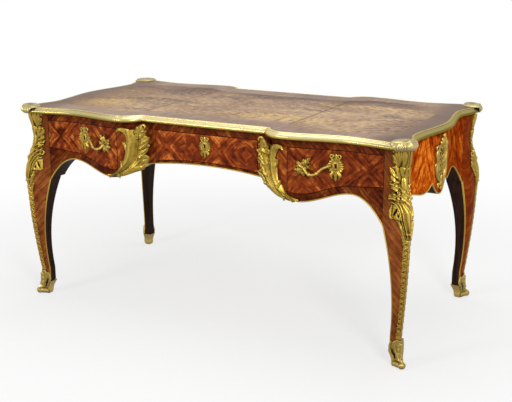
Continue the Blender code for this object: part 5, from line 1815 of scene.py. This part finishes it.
def chute_sheet(mount):
    """Sheet that wraps the arris of a leg, from the end face round to the front face."""
    end_columns, front_columns = CHUTE_COLUMNS
    top = []
    low = []
    for z in spaced(CHUTE_FOOT, CHUTE_TOP, CHUTE_PITCH):
        edge = chute_edge(z)
        ratio = chute_ratio(z)
        places = []
        for t in steps(1.0, 0.0, end_columns)[:-1]:
            u = -edge * t
            places.append((u * ratio, chute_end_height(-u, z)))
        for t in steps(0.0, 1.0, front_columns):
            u = edge * t
            places.append((u, chute_height(u, z)))
        top.append([leg_face(u, z, off) for u, off in places])
        low.append([leg_face(u, z, -SINK) for u, off in places])
    mount.slab(top, low)


def chute_foliage(mount, face):
    """Tuft at the head, foliage down the leg, a bud among it, and the scrolls and leaves of the knee."""
    for tip in TUFT_TIPS:
        tip = Vector(tip)
        blade(mount, face, [TUFT_ROOT, TUFT_ROOT.lerp(tip, 0.5) + TUFT_BEND, tip], **TUFT)
    for spine in FOLIAGE_SPINES:
        blade(mount, face, spine, **FOLIAGE)
    dome(mount, face, *BUD)
    for u in BUD_LEAVES:
        blade(mount, face, moved(BUD_LEAF_SPINE, u, 0.0), **BUD_LEAF)
    blade(mount, face, **CURLED_TIP)
    # painted shadow: dark blades in the volute's openings
    for start, end, width in SLOTS:
        spine = [Vector(start).lerp(Vector(end), t) for t in (0.0, 0.5, 1.0)]
        blade(mount, face, spine, [width * share for share in SLOT_SHADOW_WIDTHS], **SLOT_SHADOW)
    blade(mount, face, **VOLUTE_BACK)
    blade(mount, face, **KNEE_LEAF)


def make_chutes():
    """Corner mounts: foliate head, buds, C-scrolls over the knee with a volute whose openings are dips laid
    with dark blades as painted shadow, and a leafy drop.
    """
    mount = Shape()
    chute_sheet(mount)
    for face in (chute_face, chute_end_face):
        blade(mount, face, **HEAD_LOBE)
    dome(mount, chute_face, *CABOCHON, around=20)
    for z in END_BEAD_HEIGHTS:
        dome(mount, chute_end_face, END_BEAD_REACH, z, *END_BEAD, around=10, levels=4)
    for face in (chute_face, chute_end_face):
        chute_foliage(mount, face)
    blade(mount, chute_face, **FOOT_BAND)
    blade(mount, chute_face, **STRIP_BEAD)
    for z in HUSK_HEIGHTS:
        for spine in HUSK_SPINES:
            blade(mount, chute_face, moved(spine, 0.0, z), **HUSK)
    make_all(mount, CORNERS, "corner_mount_bronze_", "bronze ebony", "bronze", "corner_mount_")


# Shoes: height, then shares of the toe and of the ankle's section, as the CAD has them
SABOT_LEVELS = ((0.0, 0.25, 0.62), (0.12, 1.0, 0.70), (0.21, 0.85, 0.72), (0.33, 0.32, 0.80),
                (0.52, 0.05, 1.0))
SHOE_FACETS = 6             # round each outer face of the ankle
SHOE_LEVELS = 18
TOE_SHARE = 0.95            # of the CAD's toe
TOE_ROLL = 0.0125           # radius and half length of the scroll under the toe
TOE_REACH = 0.019           # its middle, out from the arris
TOE_RADII = ((-1.0, 0.45), (-0.5, 0.9), (0.0, 1.0), (0.5, 0.9), (1.0, 0.45))
CUP = (0.050, 0.098)        # heights of the leafy cup round the ankle
CUP_PITCH = 0.003
CUP_CROWN = 0.0015
# its edge, as (height, share of the face's width) pairs
CUP_EDGE = ((0.050, 1.0), (0.072, 0.98), (0.086, 0.75), (0.098, 0.30))
SHOE_LEAFLET = dict(widths=(0.006, 0.0050, 0.0046, 0.003), crown=0.004, lift=(0.001,), teeth=4, bite=0.3)
# Blades on each outer face of a shoe, with their spines in shares of the face's width: a dark slot painted as
# the shadow of a piercing, and two leaves
SHOE_BLADES = (
    # the slot: a dark blade raised off the face, painted as the shadow of a piercing
    (((0.70, 0.064), (0.60, 0.048), (0.48, 0.030)),
     dict(widths=(0.0016, 0.0034, 0.0020), crown=0.0004, lift=(0.0030,), count=20, mark=INNER)),
    (((0.30, 0.028), (0.34, 0.050), (0.46, 0.070), (0.40, 0.092)),
     dict(SHOE_LEAFLET, sides=(1, 0))),
    (((0.72, 0.030), (0.84, 0.050), (0.92, 0.070), (0.80, 0.092)),
     dict(SHOE_LEAFLET, sides=(0, 1))),
)
HEEL = (0.95, 0.011, -0.004)    # share of the width, height and offset
HEEL_SHARES = (0.35, 0.7)
HEEL_RADII = (0.0085, 0.0105, 0.0110, 0.0100)
SHOE_LEAF = dict(spine=upright(0.0, 0.036, SABOT_HEIGHT - 0.016), widths=(0.009, 0.008, 0.006, 0.004),
                 crown=0.004, lift=(0.001,), teeth=3, bite=0.25, vein=0.5)
SHOE_KNOB = (0.0, SABOT_HEIGHT - 0.020, 0.005, 0.005, 0.009)


def ankle_ring(grow):
    """Section of the ankle from its arris round, with an even wall outside it."""
    ax, ay, width, front, depth, end = leg_sizes(ANKLE_HEIGHT)
    ring = [Vector(leg_face(width * t, ANKLE_HEIGHT, grow)).xy for t in steps(0.0, 1.0, SHOE_FACETS)]
    ring[-1].x -= grow
    ring.append(Vector((ax - width - grow, ay - depth - grow)))
    back = [Vector(leg_face(-depth * t, ANKLE_HEIGHT, grow)).xy for t in steps(1.0, 0.0, SHOE_FACETS)[:-1]]
    back[0].y -= grow
    return ring + back


def toe_push(share):
    """How far a share of the toe pushes the shoe out, along the diagonal."""
    return Vector((1.0, 1.0)) * TOE_LENGTH * TOE_SHARE * share


def shoe_face(u, z, off):
    """Outside of a shoe: u runs from its arris as on the leg."""
    toe = table([(share * SABOT_HEIGHT, reach) for share, reach, keep in SABOT_LEVELS], z)
    keep = table([(share * SABOT_HEIGHT, keep) for share, reach, keep in SABOT_LEVELS], z)
    width = ANKLE_WIDTH if u >= 0.0 else ANKLE_DEPTH
    arris = Vector(leg_face(0.0, ANKLE_HEIGHT, SABOT_WALL)).xy
    spot = arris.lerp(Vector(leg_face(u, ANKLE_HEIGHT, SABOT_WALL + off)).xy, keep)
    spot += toe_push(toe) * smooth(1.0 - 2.0 * abs(u) / width)
    return (spot.x, spot.y, z)


def shoe_end_face(u, z, off):
    return shoe_face(-u, z, off)


def shoe_body(shoe):
    """Foot and cup of a shoe, from the floor up."""
    outer = ankle_ring(SABOT_WALL)
    count = len(outer)
    arris = outer[0]
    rings = []
    for t in steps(0.0, 1.0, SHOE_LEVELS):
        share, toe, keep = along(SABOT_LEVELS, t)
        ring = []
        for k, point in enumerate(outer):
            near = max(0.0, 1.0 - min(k, count - k) / 3.0)
            spot = arris.lerp(point, keep) + toe_push(max(toe, 0.0)) * smooth(near)
            ring.append((spot.x, spot.y, max(share, 0.0) * SABOT_HEIGHT))
        rings.append(ring)
    shoe.tube(rings)


def shoe_side(shoe, face, width, toe):
    """Cup, slot and leaves on one outer face, and the rounded side of the foot from heel to toe."""
    relief(shoe, face, spaced(*CUP, CUP_PITCH), lambda z: 0.0, lambda z: width * table(CUP_EDGE, z),
           lambda s, u, z: CAST_EDGE + CUP_CROWN * sin(pi * s), across=12)
    for shares, options in SHOE_BLADES:
        blade(shoe, face, [(width * share, z) for share, z in shares], **options)
    share, z, off = HEEL
    heel = Vector(face(width * share, z, off))
    route = [heel] + [heel.lerp(toe, share) for share in HEEL_SHARES] + [toe]
    rod(shoe, route, HEEL_RADII, count=24, around=14)


def make_sabots():
    """Scrolled feet with a leafy cup round the ankle, and on each outer face a dark slot that paints the
    shadow of a piercing.
    """
    shoe = Shape()
    shoe_body(shoe)
    toe = Vector((corner_x, corner_y, TOE_ROLL)) + Vector((1.0, 1.0, 0.0)).normalized() * TOE_REACH
    across = Vector((1.0, -1.0, 0.0)).normalized() * TOE_ROLL
    rod(shoe, [toe + across * share for share, radius in TOE_RADII],
        [TOE_ROLL * radius for share, radius in TOE_RADII], count=16, around=20)
    shoe_side(shoe, shoe_face, ANKLE_WIDTH, toe)
    shoe_side(shoe, shoe_end_face, ANKLE_DEPTH, toe)
    blade(shoe, shoe_face, **SHOE_LEAF)
    dome(shoe, shoe_face, *SHOE_KNOB, around=12, levels=4)
    make_all(shoe, CORNERS, "sabot_bronze_", "shoe ebony", "bronze", "sabot_")


# Cartouches: blades on both sides of their middle, as (along, up) from it
CARTOUCHE_DROP = 0.117
CARTOUCHE_SCROLLS = (
    # outer C-scrolls, their curled tips and inner lines
    dict(spine=((0.020, 0.066), (0.042, 0.058), (0.053, 0.034), (0.047, 0.006), (0.050, -0.024),
                (0.040, -0.052), (0.020, -0.068)),
         widths=(0.004, 0.006, 0.007, 0.006, 0.007, 0.006, 0.004), crown=0.007, lift=(0.003,), hollow=0.15,
         count=60),
    dict(spine=spiral((0.051, 0.060), 0.010, 0.003, radians(-120), 1.2), widths=(0.004, 0.0035, 0.003),
         crown=0.004, lift=(0.003, 0.006), across=6),
    dict(spine=((0.030, 0.060), (0.037, 0.030), (0.031, 0.000), (0.034, -0.030), (0.022, -0.058)),
         widths=(0.002, 0.003, 0.003, 0.003, 0.002), crown=0.004, lift=(0.002,), count=44, across=5),
)
TRELLIS_PITCH = 0.022
TRELLIS_HALF = 0.030
TRELLIS = dict(widths=(0.0018,), crown=0.003, lift=(0.001,), count=10, across=4)
STUD_PITCH = 0.021
STUD = (0.0042, 0.0042, 0.006)
SIDE_FINIAL = dict(spine=((0.002, 0.040), (0.014, 0.060), (0.016, 0.078), (0.008, 0.092)),
                   widths=(0.006, 0.009, 0.007, 0.003), crown=0.006, lift=(0.002, 0.005), teeth=3, vein=0.4)
FINIAL_HEIGHTS = (0.036, 0.062, 0.086, 0.103)
FINIAL = dict(widths=(0.006, 0.009, 0.006, 0.002), crown=0.008, lift=(0.004,), teeth=3, vein=0.5, count=36)
DROP_HEIGHTS = (-0.046, -0.066, -0.086, -0.102)
DROP = dict(widths=(0.012, 0.014, 0.009, 0.003), crown=0.006, lift=(0.002,), teeth=3, vein=0.6, count=36,
            across=10)
SIDE_DROPS = (
    dict(spine=((0.006, -0.060), (0.024, -0.070), (0.034, -0.086)), widths=(0.006, 0.007, 0.002), crown=0.005,
         lift=(0.001,), teeth=2, vein=0.4, count=24),
    dict(spine=((0.046, 0.004), (0.058, 0.000), (0.062, -0.012)), widths=(0.004, 0.005, 0.002), crown=0.004,
         lift=(0.002,), count=18),
)


def make_cartouches():
    """Openwork shield on each end: trellis between C-scrolls, with a tall leaf above and a drop below."""
    middle = carcass_top - CARTOUCHE_DROP
    mount = Shape()

    def lay(spine, **options):
        for side in SIDES.values():
            blade(mount, end_face, [(side * u, middle + v) for u, v in spine], **options)

    def stand(heights, **options):
        blade(mount, end_face, [(0.0, middle + v) for v in heights], **options)

    for scroll in CARTOUCHE_SCROLLS:
        lay(**scroll)
    for k in range(-2, 3):
        lay([(side * TRELLIS_HALF, k * TRELLIS_PITCH + side * TRELLIS_HALF) for side in SIDES.values()],
            **TRELLIS)
    for row in range(-2, 3):
        for column in (-1, 0, 1):
            dome(mount, end_face, column * STUD_PITCH, middle + row * STUD_PITCH, *STUD, around=10, levels=3)
    lay(**SIDE_FINIAL)
    stand(FINIAL_HEIGHTS, **FINIAL)
    stand(DROP_HEIGHTS, **DROP)
    for drop in SIDE_DROPS:
        lay(**drop)
    for name, side in SIDES.items():
        mount.make("end_cartouche_bronze_" + name, "handle", "bronze", [name + "_end_cartouche"], (side, 1))


# Escutcheons: gadrooned plate, whose section is given in shares from the keyhole to the rim, with its
# height and the depth of its ribs; then scrolls and lobes beside it, and leaves above and below
GADROONS = 18
PLATE_AROUND = 108
PLATE_RADIUS = 0.0290
PLATE_WAVE = 0.0014
KEYHOLE_ROOM = 0.0006       # plate outside the keyhole
KEYHOLE_LIP = (0.002, 0.0045, 0.0060)   # width, inner height and outer height
PLATE_SECTION = ((0.34, 0.0036, 0.0), (0.52, 0.0034, 0.0), (0.68, 0.0050, 0.0010), (0.86, 0.0046, 0.0018))
PLATE_RIM = (0.0012, 0.0006)
PLATE_SIDES = (
    (spiral((0.0115, 0.0335), 0.0078, 0.0025, radians(-100), 1.1), (0.0042, 0.0036, 0.0026),
     dict(crown=0.004, lift=(0.001, 0.003), count=28, across=7)),
    (((0.006, -0.020), (0.015, -0.031), (0.012, -0.042)), (0.006, 0.0075, 0.003),
     dict(crown=0.0042, lift=(0.001,), vein=0.3, count=22)),
)
PLATE_LEAVES = ((-0.020, -0.036, -0.053), (0.018, 0.030, 0.043))
PLATE_LEAF_WIDTHS = (0.0070, 0.0075, 0.002)
PLATE_LEAF = dict(crown=0.0045, lift=(0.001,), teeth=2, bite=0.3, vein=0.4, count=22)
CENTRE_PLATE_SIZE = 0.84


def keyhole_plate(shape, x, z, size):
    """A gadrooned plate pierced by a keyhole."""
    half_x, half_z = KEYHOLE_HALF
    lip, inner, outer = KEYHOLE_LIP
    rings = []
    for k in range(PLATE_AROUND):
        angle = tau * k / PLATE_AROUND
        hole = 1.0 / max(abs(cos(angle)) / (half_x + KEYHOLE_ROOM), abs(sin(angle)) / (half_z + KEYHOLE_ROOM))
        rib = cos(GADROONS * angle)
        reach = size * (PLATE_RADIUS + PLATE_WAVE * rib)
        section = [(hole, inner), (hole + lip, outer)]
        section += [(mix(hole, reach, share), height + depth * rib) for share, height, depth in PLATE_SECTION]
        section.append((reach, PLATE_RIM[0] + PLATE_RIM[1] * rib))
        upper = [front_face(x + r * cos(angle), z + r * sin(angle), off) for r, off in section]
        lower = [front_face(x + r * cos(angle), z + r * sin(angle), -SINK) for r, off in section]
        rings.append(upper + lower[::-1])
    shape.tube(rings, closed=True)


def make_escutcheon(shape, x, z, size):
    """Shield with a gadrooned border, scrolls above and a lobed drop below."""
    def lay(spine, widths, options):
        blade(shape, front_face, [(x + size * u, z + size * v) for u, v in spine],
              [width * size for width in widths], **options)

    keyhole_plate(shape, x, z, size)
    for side in SIDES.values():
        for spine, widths, options in PLATE_SIDES:
            lay([(side * u, v) for u, v in spine], widths, options)
    for heights in PLATE_LEAVES:
        lay([(0.0, v) for v in heights], PLATE_LEAF_WIDTHS, PLATE_LEAF)


# Leaf spray of a handle: tips from its root, half widths, and how far each bends
SPRAY = (
    ((0.021, 0.041), 0.0105, 0.12),
    ((-0.004, 0.036), 0.0085, 0.05),
    ((-0.027, 0.027), 0.0115, 0.10),
    ((-0.0385, -0.0040), 0.0115, 0.10),
    ((-0.0240, -0.0220), 0.0085, -0.08),
    ((-0.0030, -0.0275), 0.0095, -0.10),
    ((0.022, 0.016), 0.0075, -0.10),
)
SPRAY_ROOT = (0.414, 0.6535)
SPRAY_BOSS = (0.010, 0.010, 0.011)
SPRAY_WIDTHS = (0.6, 1.0, 0.10)
SPRAY_LEAF = dict(crown=0.0050, lift=(0.001, 0.004, 0.003), teeth=3, bite=0.22, hook=0.35, vein=0.4, count=36,
                  across=12)
HANDLE_LEAF_SPINE = ((-0.014, 0.0), (-0.030, -0.002), (-0.043, -0.009))
HANDLE_LEAF = dict(widths=(0.010, 0.008, 0.004), crown=0.006, lift=(0.001, 0.004, 0.008), teeth=2, vein=0.3,
                   count=24)
# Bar of a handle: route as reach, height and offset, with its radii, and the rings on it
BAR_ROUTE = ((key_x - 0.024, key_z - 0.001, 0.006), (0.474, 0.659, 0.013), (0.457, 0.643, 0.017),
             (0.440, 0.637, 0.018), (0.425, 0.641, 0.014), (*SPRAY_ROOT, 0.006))
BAR_RADII = (0.0058, 0.0052, 0.0050, 0.0054, 0.0058, 0.0066)
BAR_RINGS = ((0.457, 0.643), (0.4315, 0.638))
RING_ROUTE = ((0.004, 0.001, 0.017), (0.0, 0.0, 0.0175), (-0.004, -0.001, 0.017))
RING_RADII = (0.0062, 0.0076, 0.0062)


def make_handle_shape():
    """Fixed handle: escutcheon, swan-necked bar and leaf spray."""
    handle = Shape()
    make_escutcheon(handle, key_x, key_z, 1.0)
    blade(handle, front_face, moved(HANDLE_LEAF_SPINE, key_x, key_z), **HANDLE_LEAF)
    rod(handle, [front_face(*point) for point in BAR_ROUTE], BAR_RADII)
    for u, z in BAR_RINGS:
        rod(handle, [front_face(u + du, z + dz, off) for du, dz, off in RING_ROUTE], RING_RADII, count=6)
    dome(handle, front_face, *SPRAY_ROOT, *SPRAY_BOSS)
    root = Vector(SPRAY_ROOT)
    for (u, v), half, bow in SPRAY:
        tip = root + Vector((u, v))
        bend = root.lerp(tip, 0.5) + Vector((-v, u)) * bow
        blade(handle, front_face, [root, bend, tip], [half * share for share in SPRAY_WIDTHS], **SPRAY_LEAF)
    return handle


def make_handles():
    """Handles on the drawers, and their dummies on the back."""
    handle = make_handle_shape()
    small = Shape()
    make_escutcheon(small, 0.0, centre_key_z, CENTRE_PLATE_SIZE)
    for name, side in SIDES.items():
        handle.make("handle_bronze_" + name, "handle", "bronze", [name + "_handle"], (side, -1),
                    name + "_drawer")
        handle.make("back_handle_bronze_" + name, "handle", "bronze", (), (side, 1))
    small.make("escutcheon_bronze_centre", "bronze", "bronze", ["centre_escutcheon"], (1, -1),
               "centre_drawer")
    small.make("back_escutcheon_bronze", "bronze", "bronze")


OAK_ENDINGS = {"oak_x": ("_back", "_bottom"), "oak_y": ("_side", "_partition", "_runner")}


def cad_look(name):
    """Look and slot of a CAD piece that stays in sight, or nothing for the rest."""
    if "lock" in name:
        return "steel", "steel"
    for look, endings in OAK_ENDINGS.items():
        if name.endswith(endings):
            return look, "oak"
    return None


def dress_cad_nodes():
    """Oak and iron on the CAD pieces that stay in sight."""
    for name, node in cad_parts.items():
        found = cad_look(name)
        if found:
            look, slot = found
            node.data.materials.clear()
            node.data.materials.append(LOOKS[look])


# Studio

FLOOR_SHADES = ((0.3, (0.90, 0.90, 0.90)), (0.7, (0.93, 0.93, 0.93)))
FLOOR_RADIUS = 14.0
FLOOR_DROP = 0.001          # below the feet
FLOOR_FADE = (0.9, 2.4, 0.68, 1.0)      # distances, and shares of plain white there
WHITE = (1.0, 1.0, 1.0, 1.0)
WORLD_FILL = 0.35
DIRECT_RAYS = ("Is Camera Ray", "Is Glossy Ray", "Is Transmission Ray")
AIM = Vector((0.0, 0.0, 0.5))
LAMPS = (
    ("key", (3.0, -3.0, 2.8), 1.0, 82.0),
    ("fill", (-1.9, -3.9, 2.0), 1.0, 50.0),
    ("overhead", (0.0, 0.4, 3.6), 2.4, 45.0),
)
CAMERA_PLACE = (1.720, -3.191, 1.391)
CAMERA_YAW = radians(28.04)
CAMERA_PITCH = radians(15.39)
CAMERA_ROLL = radians(-0.18)
FOCAL_SHARE = 946.9 / 512   # focal length over the width of the image


def make_floor():
    """White floor that keeps the soft shadows near the desk and fades to plain white further out."""
    look = Look("studio_floor")
    rays = look.node("LightPath")
    camera, glossy, through = (rays.outputs[kind] for kind in DIRECT_RAYS)
    seen = look.most(look.most(camera, glossy), through)
    look.finish(look.shades(look.noise(look.position, 40.0, 2.0), FLOOR_SHADES), 0.9)
    white = look.node("Emission", {"Color": WHITE, "Strength": 1.0})
    share = look.times(seen, look.span(look.length(look.position), *FLOOR_FADE))
    mixed = look.node("MixShader", {"Fac": share, 1: look.shader.outputs[0], 2: white.outputs[0]})
    look.feed(look.tree.nodes["Material Output"].inputs["Surface"], mixed.outputs[0])
    shape = bmesh.new()
    bmesh.ops.create_circle(shape, cap_ends=True, radius=FLOOR_RADIUS, segments=64)
    mesh = bpy.data.meshes.new("studio_floor")
    shape.to_mesh(mesh)
    shape.free()
    mesh.materials.append(look.material)
    floor = bpy.data.objects.new("studio_floor", mesh)
    floor.location.z = -FLOOR_DROP
    bpy.context.scene.collection.objects.link(floor)
    floor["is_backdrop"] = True


def make_world():
    """White to the eye and in reflections, and a soft fill for the rest."""
    world = bpy.data.worlds.new("studio")
    bpy.context.scene.world = world
    world.use_nodes = True
    tree = world.node_tree
    background = tree.nodes["Background"]
    background.inputs["Color"].default_value = WHITE
    rays = tree.nodes.new("ShaderNodeLightPath")
    seen = rays.outputs[DIRECT_RAYS[0]]
    for kind in DIRECT_RAYS[1:]:
        join = tree.nodes.new("ShaderNodeMath")
        join.operation = 'MAXIMUM'
        tree.links.new(seen, join.inputs[0])
        tree.links.new(rays.outputs[kind], join.inputs[1])
        seen = join.outputs[0]
    strength = tree.nodes.new("ShaderNodeMapRange")
    strength.inputs["To Min"].default_value = WORLD_FILL
    strength.inputs["To Max"].default_value = 1.0
    tree.links.new(seen, strength.inputs["Value"])
    tree.links.new(strength.outputs["Result"], background.inputs["Strength"])


def make_lamps():
    for name, place, size, power in LAMPS:
        lamp = bpy.data.lights.new(name, 'AREA')
        lamp.size = size
        lamp.energy = power
        obj = bpy.data.objects.new(name, lamp)
        obj.location = place
        obj.rotation_euler = (AIM - Vector(place)).to_track_quat('-Z', 'Y').to_euler()
        bpy.context.scene.collection.objects.link(obj)


def make_camera():
    data = bpy.data.cameras.new("camera")
    data.sensor_width = 36.0
    data.lens = FOCAL_SHARE * data.sensor_width
    camera = bpy.data.objects.new("camera", data)
    level_share = cos(CAMERA_PITCH)
    ahead = Vector((-sin(CAMERA_YAW) * level_share, cos(CAMERA_YAW) * level_share, -sin(CAMERA_PITCH)))
    turn = ahead.to_track_quat('-Z', 'Y').to_matrix() @ Matrix.Rotation(CAMERA_ROLL, 3, 'Z')
    camera.matrix_world = Matrix.Translation(CAMERA_PLACE) @ turn.to_4x4()
    bpy.context.scene.collection.objects.link(camera)
    bpy.context.scene.camera = camera


def main():
    make_top_rail()
    make_front()
    make_back()
    make_ends()
    make_legs()
    make_drawer_fronts()
    make_top()
    make_leather()
    make_clasps()
    make_fillets()
    make_acanthus()
    make_chutes()
    make_sabots()
    make_cartouches()
    make_handles()
    dress_cad_nodes()
    make_floor()
    make_world()
    make_lamps()
    make_camera()
    bpy.context.scene.view_settings.view_transform = 'Standard'


main()
bpy.context.view_layer.update()
[[list(corner) for corner in box] for box in (cad_box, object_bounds())]
